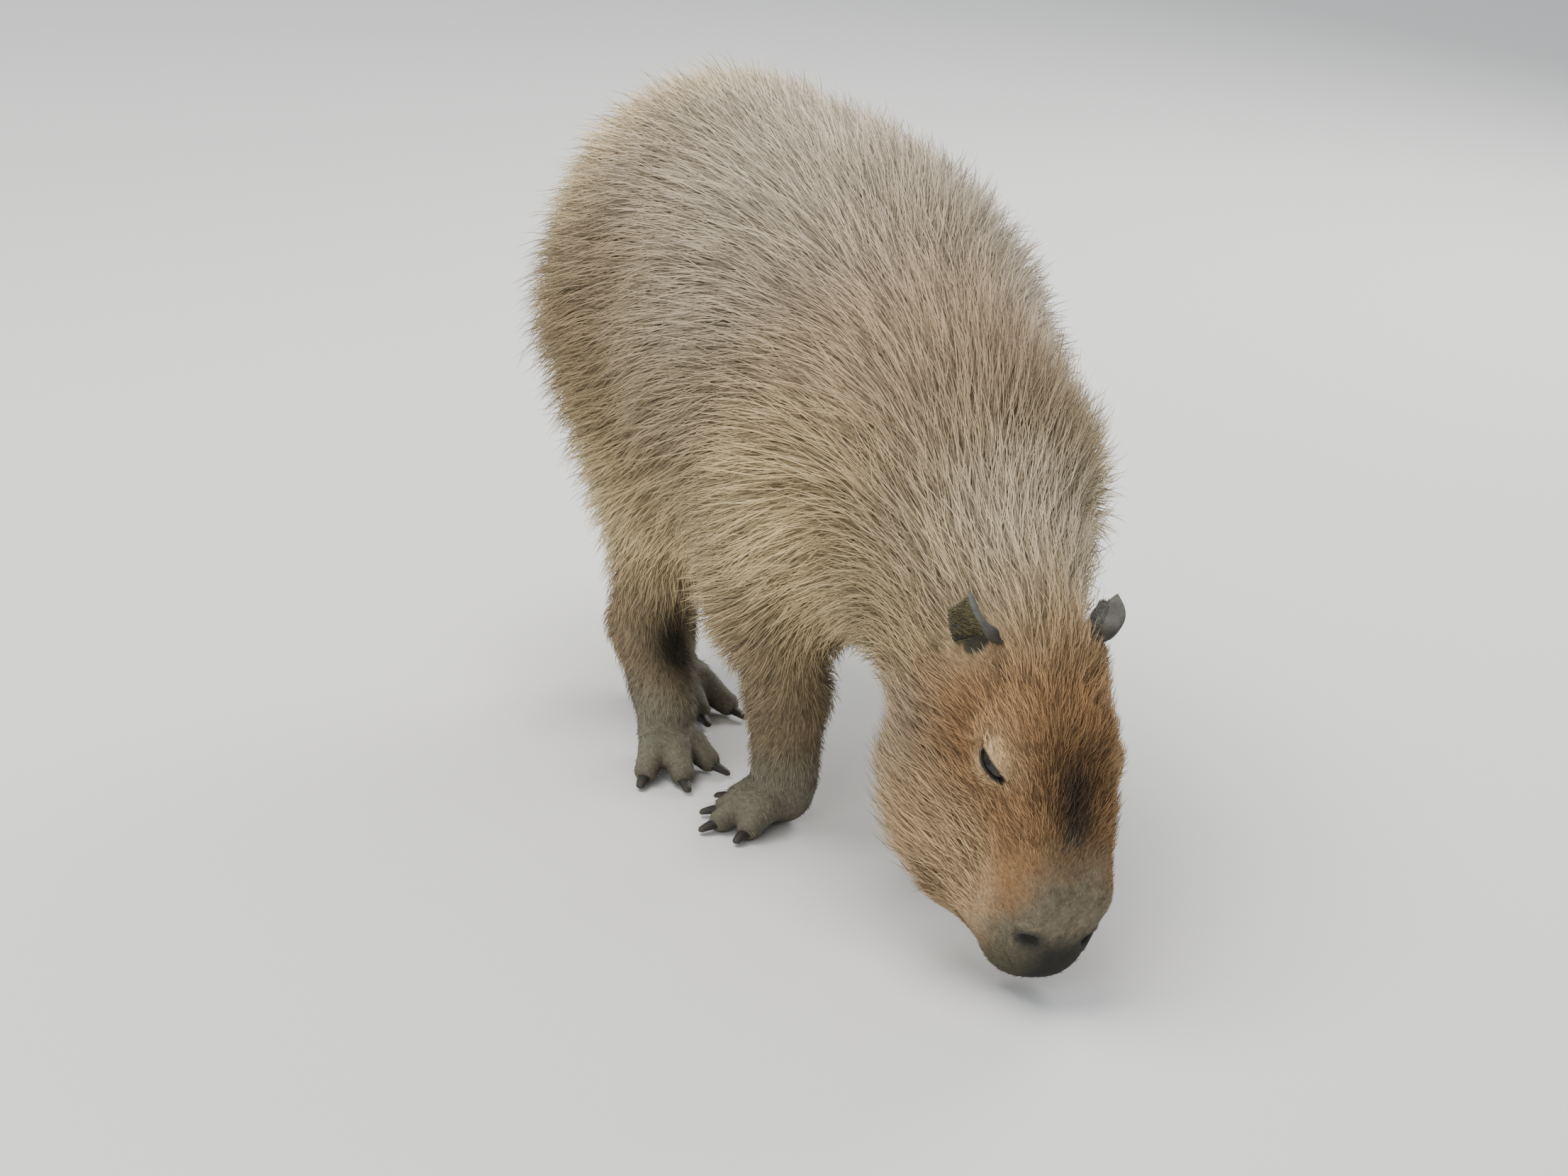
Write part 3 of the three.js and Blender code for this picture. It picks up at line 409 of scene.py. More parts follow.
def surface(field, low, high, cell):
    """A closed mesh of the field's surface.

    It has a vertex in each crossed cell, and a square round each crossed edge.
    """
    low = np.asarray(low, float)
    n = (np.ceil((np.asarray(high, float) - low) / cell / COARSE).astype(int)) * COARSE + 1
    steps = [low[i] + cell * np.arange(n[i]) for i in range(3)]
    rough = [s[::COARSE] for s in steps]
    grid = np.stack(np.meshgrid(*rough, indexing="ij"), -1).reshape(-1, 3)
    value = in_chunks(field, grid).reshape([len(r) for r in rough])
    for axis in range(3):
        m = value.shape[axis]
        at = np.arange(n[axis]) / COARSE
        i = np.minimum(at.astype(int), m - 2)
        t = (at - i).reshape([-1 if a == axis else 1 for a in range(3)])
        value = np.take(value, i, axis) * (1 - t) + np.take(value, i + 1, axis) * t
    close = np.abs(value) < BAND + cell * 2
    i, j, k = np.nonzero(close)
    value[i, j, k] = in_chunks(field, np.stack((steps[0][i], steps[1][j], steps[2][k]), 1))
    inside = value < 0
    part = [slice(0, -1), slice(1, None)]
    count = sum(inside[part[x], part[y], part[z]].astype(int) for x, y, z in CORNERS)
    crossed = (count > 0) & (count < 8)
    ci, cj, ck = np.nonzero(crossed)
    vertex = np.full(crossed.shape, -1)
    vertex[ci, cj, ck] = np.arange(len(ci))
    total = np.zeros((len(ci), 3))
    number = np.zeros(len(ci))
    for a in CORNERS:
        for axis in range(3):
            if a[axis]:
                continue
            b = tuple(v + (1 if m == axis else 0) for m, v in enumerate(a))
            va = value[ci + a[0], cj + a[1], ck + a[2]]
            vb = value[ci + b[0], cj + b[1], ck + b[2]]
            hit = (va < 0) != (vb < 0)
            t = np.where(hit, va / np.where(hit, va - vb, 1), 0)
            at = np.array(a, float) + np.outer(t, np.array(b) - np.array(a))
            total += at * hit[:, None]
            number += hit
    points = low + cell * (np.stack((ci, cj, ck), 1) + total / number[:, None])
    faces = []
    for axis in range(3):
        u, v = (axis + 1) % 3, (axis + 2) % 3
        first = [slice(None)] * 3
        second = [slice(None)] * 3
        first[axis], second[axis] = slice(0, -1), slice(1, None)
        change = inside[tuple(first)] != inside[tuple(second)]
        at = np.stack(np.nonzero(change), 1)
        start = inside[tuple(first)][tuple(at.T)]
        fits = (at[:, u] > 0) & (at[:, v] > 0)
        at, start = at[fits], start[fits]
        ring = []
        for du, dv in ((1, 1), (0, 1), (0, 0), (1, 0)):
            cell_at = at.copy()
            cell_at[:, u] -= du
            cell_at[:, v] -= dv
            ring.append(vertex[tuple(cell_at.T)])
        ring = np.stack(ring, 1)
        ring[start] = ring[start][:, ::-1]
        faces.append(ring[:, ::-1])
    faces = np.concatenate(faces)
    points = settle(field, points, 2, cell * 0.6)
    short = size_of(points[faces[:, 0]] - points[faces[:, 2]])
    other = size_of(points[faces[:, 1]] - points[faces[:, 3]])
    a = np.where((short <= other)[:, None], faces[:, [0, 1, 2]], faces[:, [0, 1, 3]])
    b = np.where((short <= other)[:, None], faces[:, [0, 2, 3]], faces[:, [1, 2, 3]])
    return points, np.concatenate((a, b))


def refine(points, faces, finest, field):
    """The animal's face is made finer: its longer edges are halved, and the new points settled."""
    pairs = np.stack((faces, np.roll(faces, -1, 1)), 2)
    keys = np.sort(pairs.reshape(-1, 2), 1)
    edges, back = np.unique(keys, axis=0, return_inverse=True)
    back = back.reshape(-1, 3)
    middle = (points[edges[:, 0]] + points[edges[:, 1]]) / 2
    length = size_of(points[edges[:, 0]] - points[edges[:, 1]])
    split = near_details(middle, length, finest)
    number = np.full(len(edges), -1)
    number[split] = len(points) + np.arange(split.sum())
    new = settle(field, middle[split], 3, 3.0)
    points = np.concatenate((points, new))
    m = number[back]
    has = m >= 0
    code = has.sum(1)
    out = [faces[code == 0]]
    for turn in range(3):
        a, b, c = (faces[:, (i + turn) % 3] for i in range(3))
        mab, mbc = (m[:, (i + turn) % 3] for i in range(2))
        hab, hbc, hca = (has[:, (i + turn) % 3] for i in range(3))
        one = hab & ~hbc & ~hca
        out += [np.stack((a, mab, c), 1)[one], np.stack((mab, b, c), 1)[one]]
        two = hab & hbc & ~hca
        out += [np.stack(v, 1)[two] for v in ((a, mab, c), (mab, mbc, c), (mab, b, mbc))]
    full = code == 3
    a, b, c = faces[full].T
    x, y, z = m[full].T
    out += [np.stack(v, 1) for v in ((a, x, z), (x, b, y), (z, y, c), (x, y, z))]
    return points, np.concatenate(out)


def face_normals(points, faces):
    a, b, c = (points[faces[:, i]] for i in range(3))
    return np.cross(b - a, c - a) / 2


def near_details(middle, length, finest):
    """Edges beside the eyes, nostrils and lips that are longer than they should be."""
    q = in_head(middle)
    close = np.zeros(len(middle), bool)
    for side in SIDES:
        close |= size_of(eye_slit(middle, side)) < EYE["radius"] + DETAIL["eye"]
        nostril = head_place(NOSTRIL["at"], side)
        close |= size_of(middle - nostril) < DETAIL["nostril"]
    lips = np.abs(mouth_line(q)) < DETAIL["lips"]
    lips &= q[:, 1] > MOUTH["corner"] - DETAIL["corner"]
    return (close & (length > finest)) | (lips & (length > finest * LIPS_COARSER))


# The noise that varies the coat, the same wherever it is asked for
HASH = (73856093, 19349663, 83492791, 2654435761, 1103515245, 12345, 1274126177)
LOW_BITS = 0x7FFFFFFF


def noise(p, size, seed):
    """Smooth noise from -1 to 1 with that size of feature."""
    base = np.floor(p / size).astype(np.int64)
    t = p / size - base
    t = t * t * (3 - 2 * t)
    total = 0.0
    for corner in CORNERS:
        x, y, z = ((base + corner) * HASH[:3]).T
        h = (x ^ y ^ z ^ (seed * HASH[3])) & LOW_BITS
        h = (h * HASH[4] + HASH[5]) & LOW_BITS
        h = (h ^ (h >> 13)) * HASH[6] & LOW_BITS
        total = total + (h / (LOW_BITS // 2) - 1) * np.where(corner, t, 1 - t).prod(1)
    return total


# Markings, painted light and painted shade: linear colours and where each one lies
STRAW = np.array((0.50, 0.385, 0.205))
WITHERS = np.array((0.385, 0.28, 0.17))
TAN = np.array((0.45, 0.30, 0.155))
GREY_BROWN = np.array((0.38, 0.28, 0.175))
DARK_BROWN = np.array((0.085, 0.060, 0.037))
BACK_GREY = np.array((0.50, 0.42, 0.31))
RUSTY = np.array((0.36, 0.205, 0.09))
BUFF = np.array((0.52, 0.36, 0.195))
DUN = np.array((0.26, 0.215, 0.14))
NOSE_BLACK = np.array((0.026, 0.025, 0.02))
NOSE_GREY = np.array((0.085, 0.08, 0.048))
# the colour of the painted shade on the trunk's sides
SIDE_SHADE_BROWN = np.array((0.24, 0.165, 0.07))
LEG_BROWN = np.array((0.33, 0.245, 0.14))
# the colour of the painted shadow on the hind legs
LEG_SHADOW_COLOUR = np.array((0.024, 0.022, 0.012))
FOOT_GREY = np.array((0.23, 0.21, 0.15))
EAR_GREY = np.array((0.10, 0.098, 0.086))
EAR_DARK = np.array((0.055, 0.052, 0.034))
EAR_HAIR = np.array((0.19, 0.165, 0.085))
EYE_BLACK = np.array((0.004, 0.003, 0.002))
EYE_BROWN = np.array((0.014, 0.008, 0.004))
EYE_EDGE = np.array((0.01, 0.007, 0.005))
CLAW_BLACK = np.array((0.02, 0.018, 0.016))
CLAW_TIP = np.array((0.045, 0.038, 0.03))
# painted shadow on the hind legs: on the inner side of each shin, and behind each heel
SHIN_SHADOW = {"away": (8, -16, 26), "size": (24, 26, 36), "share": 1.2, "most": 0.95}
HEEL_SHADOW = {"away": (0, 32, 0), "size": (24, 18, 34), "share": 1.1, "most": 0.85}
SPOTS_AND_PAINTED_LIGHT = (  # lighter coat and painted light on both shoulders, a painted highlight on the nape, and darker on the withers
    {"at": (138, -232, 290), "colour": STRAW * 1.7, "share": 0.75},
    {"at": (0, -372, 325), "colour": BACK_GREY * 1.4, "share": 0.65},
    {"at": (0, -280, 430), "colour": WITHERS * 0.7, "share": 0.5},
)
SPOT_SIZE = 70


def tint(colour, other, share):
    """The colour with a share of another, one share for each point."""
    return mix(colour, other, share[:, None])


def on_head(q):
    """The share of the head's look, from 0 on the body and forefeet to 1 on the face."""
    return ramp(q[:, 1] + 0.45 * (q[:, 2] - 15), -60, 20) * ramp(q[:, 2], -190, -140)


def nose_pad(q):
    """The dark skin between the nostrils, from 0 to 1."""
    between = 1 - ramp(np.abs(q[:, 0] - 6), 12, 36)
    return ramp(q[:, 1], 224, 246) * between * ramp(q[:, 2], -66, -20)


def body_colours_and_painted_light(p):
    """The colours of the trunk, the neck and the legs, with painted light and shade among them."""
    out, back, up = np.abs(p[:, 0]), p[:, 1], p[:, 2]
    high = ramp(up, 260, 500)
    body = tint(STRAW * 0.86, tint(BACK_GREY, WITHERS, ramp(-back, 60, 260)), high)
    patches = noise(p, 85, 3) * 0.6 + noise(p, 30, 5) * 0.4
    body = tint(body, DARK_BROWN * 2.6, np.clip(0.13 + 0.36 * patches, 0, 0.45))
    # painted highlight: the top of the rump lighter, where the light from above falls on it
    body = tint(body, STRAW * 1.7, ramp(back, 100, 250) * high * 0.7)
    fringe = (1 - ramp(up, 190, 330)) * ramp(up, 120, 190)
    body = tint(body, STRAW * 1.45, fringe * 0.8 * (1 - ramp(-back, 90, 160)))
    # painted shade: the sides of the trunk darker, where less of the light from above falls
    side_shade = ramp(out, 80, 150) * ramp(back, -120, 80) * ramp(up, 240, 320)
    body = tint(body, SIDE_SHADE_BROWN, 0.55 * (side_shade * (1 - ramp(up, 440, 520))))
    # the shoulders' spots are lighter coat with painted light, and the nape's is a painted highlight
    folded = np.stack((out, back, up), 1)
    for spot in SPOTS_AND_PAINTED_LIGHT:
        near = bell(size_of(folded - spot["at"]), SPOT_SIZE)
        body = tint(body, spot["colour"], spot["share"] * near)
    fore = ramp(-back, 40, 120)[:, None]
    body = tint(body, LEG_BROWN * (1 - 0.25 * fore), 1 - ramp(up, 90, 210))
    body = tint(body, FOOT_GREY, 1 - ramp(up, 40, 88))
    # painted shadow on the inner side of each hind shin and behind each heel
    for name in ("hind_left", "hind_right"):
        hock, ankle = (place(joint) for joint in LEGS[name]["joints"][2:])
        for patch, middle in ((SHIN_SHADOW, (hock + ankle) / 2), (HEEL_SHADOW, ankle)):
            far = size_of((p - middle - patch["away"]) / patch["size"])
            body = tint(body, LEG_SHADOW_COLOUR, np.clip(patch["share"] * bell(far), 0, patch["most"]))
    # painted shade under the feet: darker towards the floor
    return tint(body, FOOT_GREY * 0.45, (1 - ramp(up, 4, 26)) * 0.6)


def head_markings(p, q):
    """The colours of the head, from the poll to the nose."""
    across, nose, brow = q.T
    out = np.abs(across)
    face = ramp(nose, 0, 60)
    head = tint(TAN, tint(RUSTY, GREY_BROWN, ramp(-brow, 30, 85)), face)
    head = tint(GREY_BROWN * 1.15, head, ramp(nose, -75, 25))
    streaks = noise(p, 9, 61) * face * (1 - ramp(nose, 150, 185))
    head = head * (1 + 0.22 * streaks)[:, None]
    cheek = ramp(nose, 90, 150) * ramp(out, 28, 46) * ramp(-brow, 0, 45)
    head = tint(head, BUFF * (1 + 0.3 * ramp(nose, 140, 180))[:, None], 0.8 * cheek)
    forehead = bell(nose - 112, 36) * bell(across, 40) * ramp(brow, -34, -4)
    head = tint(head, RUSTY * 0.46, 0.75 * forehead)
    bridge = bell(nose - 138, 38) * bell(across, 17) * ramp(brow, -20, 0)
    ragged = 1 + 0.35 * noise(p, 7, 67)
    head = tint(head, DARK_BROWN * 0.5, np.clip(bridge * ragged, 0, 0.88))
    starts = 140 + 46 * ramp(out, 22, 52) + noise(p, 12, 41) * 12
    muzzle = ramp(nose - starts, 0, 62) * ramp(brow, -78, -22)
    head = tint(head, DUN * (0.88 + 0.3 * noise(p, 4, 73))[:, None], muzzle)
    head = tint(head, BUFF * 0.75, ramp(nose, 150, 190) * ramp(-brow, 68, 84))
    head = tint(head, NOSE_GREY, 0.85 * ramp(nose, 218, 250) * ramp(brow, -95, -55))
    head = tint(head, NOSE_BLACK * 0.7, 0.92 * nose_pad(q))
    for side in SIDES:
        slit = eye_slit(p, side)
        lids = bell(np.hypot(slit[:, 0] * 0.8, slit[:, 1] + side * 4), 17) * (slit[:, 2] > 0)
        head = tint(head, BUFF * 1.45, 0.95 * lids)
        # round each nostril: the nose's dark bare skin, with painted shade round the hole
        nostril_skin_and_shade = 1 - ramp(nostril_far(p, side), 1.5, 8.5)
        head = tint(head, NOSE_BLACK * 1.6, 0.85 * nostril_skin_and_shade)
    return head


def markings(p):
    """The coat's colour at points of the skin, with the painted light and shade in it."""
    q = in_head(p)
    return np.clip(tint(body_colours_and_painted_light(p), head_markings(p, q), on_head(q)), 0, 1)


def bare_parts(p, colour):
    """The skin's colour where no coat covers it, with painted shade in the nostrils, creases and gaps.
    """
    q = in_head(p)
    for side in SIDES:
        slit = eye_slit(p, side)
        colour = tint(colour, NOSE_BLACK * 0.8, 1 - ramp(lid_gap(slit, (2.2, 1.6, 1)), -0.5, 1.4))
        # painted shade inside the nostrils
        colour = tint(colour, NOSE_BLACK * 0.5, 1 - ramp(nostril_far(p, side), -0.5, 2))
        # the hollow in front of the ear's leaf: dark skin, with painted shade in it
        colour = tint(colour, EAR_DARK * 0.7, 1 - ramp(ear_cup_far(q, side), 0.5, 4))
        # painted shade in the crease behind the lids
        colour = tint(colour, DARK_BROWN * 0.5, eye_fold(slit, side))
    # dark lip edges, with painted shade in the gap between the lips
    front = ramp(q[:, 1], MOUTH["corner"] + 6, MOUTH["corner"] + 50)
    return tint(colour, NOSE_BLACK, bell(mouth_line(q), 2.6) * front)


# The unwrap: each region of the body is rolled out round its own axis, in its own strip
STRIPS = {"body": (0.01, 0.01, 0.98, 0.48), "head": (0.01, 0.51, 0.58, 0.48)}
for count, leg_name in enumerate(LEGS):
    STRIPS[leg_name] = (0.61 + 0.20 * (count % 2), 0.51 + 0.25 * (count // 2), 0.17, 0.22)
STRIP_FILL = 0.94  # a full turn takes this share of a strip's width
BODY_ROLL = {"axis_up": 340, "front": 480, "long": 860}
HEAD_ROLL_OUT = {"axis_down": 60, "back": 80, "long": 350}
LEG_HIGH = 215


def region(p):
    """0 for the trunk and neck, 1 for the head and 2 to 5 for the legs."""
    q = in_head(p)
    out = np.where(q[:, 1] + 0.62 * (q[:, 2] - 15) > -43, 1, 0)
    for number, leg in enumerate(LEGS.values()):
        knee, hock, ankle = (place(joint) for joint in leg["joints"][1:])
        near = np.minimum(limb(p, knee, hock, 40, 40), limb(p, hock, ankle, 44, 62))
        out = np.where((p[:, 2] < 200) & (near < 28) & (out == 0), number + 2, out)
    return out


def unwrap(p, which):
    """A place on the flat map for each point, by its region."""
    uv = np.zeros((len(p), 2))
    for number, (name, (x, y, w, h)) in enumerate(STRIPS.items()):
        mine = which == number
        if not mine.any():
            continue
        if name == "body":
            left, back, up = p[mine].T
            turn = np.arctan2(left, BODY_ROLL["axis_up"] - up)
            along = (back + BODY_ROLL["front"]) / BODY_ROLL["long"]
        elif name == "head":
            left, nose, brow = in_head(p[mine]).T
            turn = np.arctan2(left, -(brow + HEAD_ROLL_OUT["axis_down"]))
            along = (nose + HEAD_ROLL_OUT["back"]) / HEAD_ROLL_OUT["long"]
        else:
            joints = np.array([place(joint) for joint in LEGS[name]["joints"][:0:-1]])
            height = p[mine, 2]
            axis = [np.interp(height, joints[:, 2], joints[:, i]) for i in (0, 1)]
            turn = np.arctan2(p[mine, 0] - axis[0], p[mine, 1] - axis[1])
            along = height / LEG_HIGH
        uv[mine, 0] = x + w * (0.03 + STRIP_FILL * (turn / (2 * math.pi) + 0.5))
        uv[mine, 1] = y + h * np.clip(0.02 + 0.96 * along, 0, 1)
    return uv


# Meshes from arrays
def new_mesh(name, points, faces, shift, uv=None, colours=None, normals=None):
    mesh = bpy.data.meshes.new(name)
    mesh.vertices.add(len(points))
    mesh.vertices.foreach_set("co", ((points + shift) / 1000).astype(np.float32).ravel())
    mesh.loops.add(faces.size)
    mesh.loops.foreach_set("vertex_index", faces.astype(np.int32).ravel())
    mesh.polygons.add(len(faces))
    starts = np.arange(len(faces)) * faces.shape[1]
    mesh.polygons.foreach_set("loop_start", starts.astype(np.int32))
    mesh.polygons.foreach_set("use_smooth", np.ones(len(faces), bool))
    mesh.update(calc_edges=True)
    if uv is not None:
        layer = mesh.uv_layers.new(name="OFBake")
        layer.data.foreach_set("uv", uv.astype(np.float32).ravel())
    if colours is not None:
        layer = mesh.attributes.new("marking", "FLOAT_COLOR", "POINT")
        opaque = np.c_[colours, np.ones(len(colours))]
        layer.data.foreach_set("color", opaque.astype(np.float32).ravel())
    if normals is not None:
        mesh.normals_split_custom_set_from_vertices(normals.astype(np.float32))
    item = bpy.data.objects.new(name, mesh)
    bpy.context.scene.collection.objects.link(item)
    return item


def feed(tree, made, inputs):
    """A node's inputs set to numbers, or linked where an output is given."""
    for name, value in inputs.items():
        if isinstance(value, bpy.types.NodeSocket):
            tree.links.new(value, made.inputs[name])
        else:
            made.inputs[name].default_value = value


def add_node(tree, kind, inputs):
    made = tree.nodes.new(kind)
    feed(tree, made, inputs)
    return made


def new_material(name):
    made = bpy.data.materials.new(name)
    made.use_nodes = True
    return made, made.node_tree, made.node_tree.nodes["Principled BSDF"]


def noise_output(tree, scale, detail=4.0, rough=0.55):
    where = add_node(tree, "ShaderNodeTexCoord", {})
    made = add_node(tree, "ShaderNodeTexNoise", {
        "Vector": where.outputs["Object"], "Scale": scale, "Detail": detail, "Roughness": rough})
    return made.outputs["Fac"]


def coat_material(name, flecks, dark, light, rough, grain=0):
    """The markings with fine flecks of that scale, and a bump of that grain."""
    made, tree, shader = new_material(name)
    marks = add_node(tree, "ShaderNodeAttribute", {})
    marks.attribute_name = "marking"
    spots = noise_output(tree, flecks)
    levels = add_node(tree, "ShaderNodeMapRange", {
        "Value": spots, "From Min": 0.3, "From Max": 0.7, "To Min": dark, "To Max": light})
    scaled = add_node(tree, "ShaderNodeVectorMath", {})
    scaled.operation = "SCALE"
    feed(tree, scaled, {"Vector": marks.outputs["Color"], "Scale": levels.outputs["Result"]})
    gloss = add_node(tree, "ShaderNodeMapRange", {
        "Value": spots, "To Min": rough - 0.08, "To Max": rough + 0.08})
    feed(tree, shader, {"Base Color": scaled.outputs["Vector"],
                        "Roughness": gloss.outputs["Result"], "Specular IOR Level": 0.3})
    if grain:
        bump = add_node(tree, "ShaderNodeBump", {
            "Height": noise_output(tree, grain, 3.0, 0.6), "Strength": 0.5, "Distance": 0.0012})
        feed(tree, shader, {"Normal": bump.outputs["Normal"]})
    return made


# The skin
def make_skin():
    points, faces = surface(skin_field, *SKIN_BOX, SKIN_CELL)
    for finest in FINEST:
        points, faces = refine(points, faces, finest * LONGER, skin_field)
    points[:, 2] = np.maximum(points[:, 2], 0.0)
    return points, faces


eye_middle = sum((np.array(v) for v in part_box("eye_right")), np.zeros(3)) * 500
SHIFT = eye_middle - head_place(EYE["at"], -1)

skin_points, skin_faces = make_skin()
skin_middle = skin_points[skin_faces].mean(1)
skin_region = region(skin_middle)


def skin_uv():
    """The unwrap at each corner, with faces that cross a seam kept in one piece."""
    which = np.repeat(skin_region, 3)
    uv = unwrap(skin_points[skin_faces.ravel()], which).reshape(-1, 3, 2)
    width = np.array([strip[2] for strip in STRIPS.values()])[skin_region] * STRIP_FILL
    most = uv[:, :, 0].max(1)
    crosses = most - uv[:, :, 0].min(1) > width / 2
    low = uv[:, :, 0] < (most - width / 2)[:, None]
    uv[:, :, 0] += np.where(crosses[:, None] & low, width[:, None], 0)
    return uv.reshape(-1, 2)


UNDER_COAT = 0.62  # the skin's colour is this share of the coat's
skin_colour = bare_parts(skin_points, markings(skin_points) * UNDER_COAT)
skin = new_mesh("skin", skin_points, skin_faces, SHIFT, skin_uv(), skin_colour)
skin.data.materials.append(coat_material("skin_under_coat", 260.0, 0.75, 1.2, 0.8, 900.0))
FLESH_NODES = [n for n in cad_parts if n.split("_")[0] in
               ("head", "neck", "torso", "foreleg", "forefoot", "hindleg", "hindfoot")]
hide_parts(*FLESH_NODES)
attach(skin, "root")


# The coat
def lie(p, n):
    """Which way the coat lies at points of the skin: tangent to it."""
    q = in_head(p)
    out = np.abs(n[:, 0])
    low = 1 - ramp(p[:, 2], 200, 430)
    fore = ramp(-p[:, 1], 40, 160)
    zero, one = np.zeros(len(p)), np.ones(len(p))
    drop = -0.12 - (0.75 - 0.4 * fore) * out - (0.25 - 0.15 * fore) * low
    body = np.stack((zero, one, drop), 1)
    neck = ramp(-p[:, 1], 200, 330) * ramp(n[:, 2], -0.2, 0.4)
    body = tint(body, np.array((0, 0.86, 0.5)), neck)
    leg = 1 - ramp(p[:, 2], 130 - 50 * fore, 260 - 50 * fore)
    body = tint(body, np.stack((zero, 0.05 + 0.5 * fore, -one), 1), leg)
    foot = 1 - ramp(p[:, 2], 30, 70)
    body = tint(body, np.array((0, -0.9, -0.3)), foot)
    left, nose, brow = HEAD
    spread = np.sign(q[:, 0])[:, None] * left * (0.55 * ramp(np.abs(q[:, 0]), 4, 40))[:, None]
    down = -brow * (0.5 * ramp(-q[:, 2], 0, 60))[:, None]
    way = tint(body, -nose + spread + down, on_head(q))
    return unit(way - n * (way * n).sum(1)[:, None])


def from_ears(q):
    """The distance to the nearer ear's middle."""
    folded = np.stack((np.abs(q[:, 0]), q[:, 1], q[:, 2]), 1)
    return size_of(folded - mirrored(EAR_COAT["at"]))


def hair_length(p, q):
    """Short on the feet, long on the trunk and neck, middling on the cheeks and short in front."""
    body = mix(11.0, 46.0, ramp(p[:, 2], 80, 290))
    body = np.where(p[:, 1] > 100, body * mix(1.0, 1.12, ramp(p[:, 1], 100, 220)), body)
    body = mix(5.0, body, ramp(p[:, 2], 20, 75))
    low = ramp(-q[:, 2], 30, 90)
    head = mix(mix(28.0, 36.0, low), mix(16.0, 25.0, low), ramp(q[:, 1], -20, 75))
    jaw = ramp(-q[:, 2], 15, 55) * ramp(np.abs(q[:, 0]), 20, 42)
    head = head + 12 * jaw * ramp(q[:, 1], 70, 120)
    head = mix(head, 4.5, ramp(q[:, 1] - 38 * jaw, 130, 185))
    for side in SIDES:
        eye = size_of(q - mirrored(EYE["at"], side))
        head = head * (1 - 0.65 * bell(eye, 26))
    by_ears = mix(0.3, 1.0, ramp(from_ears(q), EAR_COAT["near"], EAR_COAT["far"]))
    return mix(body, head, on_head(q)) * by_ears


def spacing(p, q):
    """The mean distance between roots."""
    body = mix(2.65, 3.1, ramp(p[:, 2], 90, 230))
    head = mix(2.7, 1.9, ramp(q[:, 1], 0, 90))
    head = mix(head, 1.7, ramp(q[:, 1], 170, 220))
    return mix(body, head, on_head(q))


def covered(p, q):
    """How much coat grows at points of the skin, from 0 to 1."""
    share = ramp(p[:, 2], 3, 16) * (1 - 0.75 * nose_pad(q))
    front = ramp(q[:, 1], MOUTH["corner"], MOUTH["corner"] + 12)
    share = share * (1 - bell(mouth_line(q), 4.0) * front)
    for side in SIDES:
        slit = eye_slit(p, side)
        share = share * ramp(lid_gap(slit, (2, 2.2, 1)), 0.2, 1.6)
        share = share * (1 - 0.9 * eye_fold(slit, side))
        share = share * ramp(nostril_far(p, side), 0.5, 4)
        share = share * ramp(ear_cup_far(q, side), 2.5, 6)
    return share


rng = np.random.default_rng(SEED)


def vertex_normals():
    total = np.zeros_like(skin_points)
    normal = face_normals(skin_points, skin_faces)
    for i in range(3):
        np.add.at(total, skin_faces[:, i], normal)
    return unit(total)


def roots():
    """Places, normals and regions of the hair roots, spread over the skin's faces by area."""
    area = size_of(face_normals(skin_points, skin_faces))
    q = in_head(skin_middle)
    wanted = area * covered(skin_middle, q) / spacing(skin_middle, q) ** 2
    count = np.floor(wanted + rng.random(len(wanted))).astype(int)
    face = np.repeat(np.arange(len(count)), count)
    a, b = rng.random(len(face)), rng.random(len(face))
    over = a + b > 1
    a, b = (np.where(over, 1 - share, share)[:, None] for share in (a, b))
    first, second, third = skin_points[skin_faces[face]].transpose(1, 0, 2)
    at = first + (second - first) * a + (third - first) * b
    smooth = vertex_normals()[skin_faces[face]]
    n = unit(smooth[:, 0] * (1 - a - b) + smooth[:, 1] * a + smooth[:, 2] * b)
    return at, n, skin_region[face]


def turned(way, n, angle):
    side = np.cross(n, way)
    return way * np.cos(angle)[:, None] + side * np.sin(angle)[:, None]


def stacked(rows):
    """The arrays of the places along the hairs as one, with each hair's rows together."""
    return np.stack(rows, 1).reshape(-1, rows[0].shape[-1])


def strands(start, way, n, length, rings, width, tip_colour, uv_at):
    """Curved hairs with three sides: points, faces, unwrap, colours and normals.

    A ring is (share of the length, size, lean from the skin, its upward way, colour).
    """
    side = np.cross(n, way)
    points, colours, normals, uvs = [], [], [], []
    middle = start
    ends = [ring[0] for ring in rings[1:]] + [1.0]
    for (share, size, lean, up, colour), end in zip(rings, ends):
        for corner in range(3):
            turn = 2 * math.pi * corner / 3 + math.pi / 2
            off = side * math.cos(turn) + up * math.sin(turn)
            points.append(middle + off * (width * size)[:, None])
            normals.append(unit(off * 0.55 + n))
            colours.append(colour)
            uvs.append(uv_at + HAIR_ON_MAP * np.array((math.cos(turn) * 0.4, share - 0.5)))
        step = length * (end - share)
        middle = middle + (way * np.cos(lean)[:, None] + n * np.sin(lean)[:, None]) * step[:, None]
    points.append(middle)
    normals.append(unit(n + way * 0.2))
    colours.append(tip_colour)
    uvs.append(uv_at + HAIR_ON_MAP * np.array((0, 0.5)))
    pattern = [(0, 2, 1)]
    for level in range(len(rings) - 1):
        for corner in range(3):
            a, b = level * 3 + corner, level * 3 + (corner + 1) % 3
            pattern += [(a, b, b + 3), (a, b + 3, a + 3)]
    each = len(points)
    top = each - 4
    pattern += [(top + corner, top + (corner + 1) % 3, each - 1) for corner in range(3)]
    faces = np.array(pattern)[None] + (np.arange(len(start)) * each)[:, None, None]
    faces = faces.reshape(-1, 3)
    return stacked(points), faces, stacked(uvs)[faces.ravel()], stacked(colours), stacked(normals)


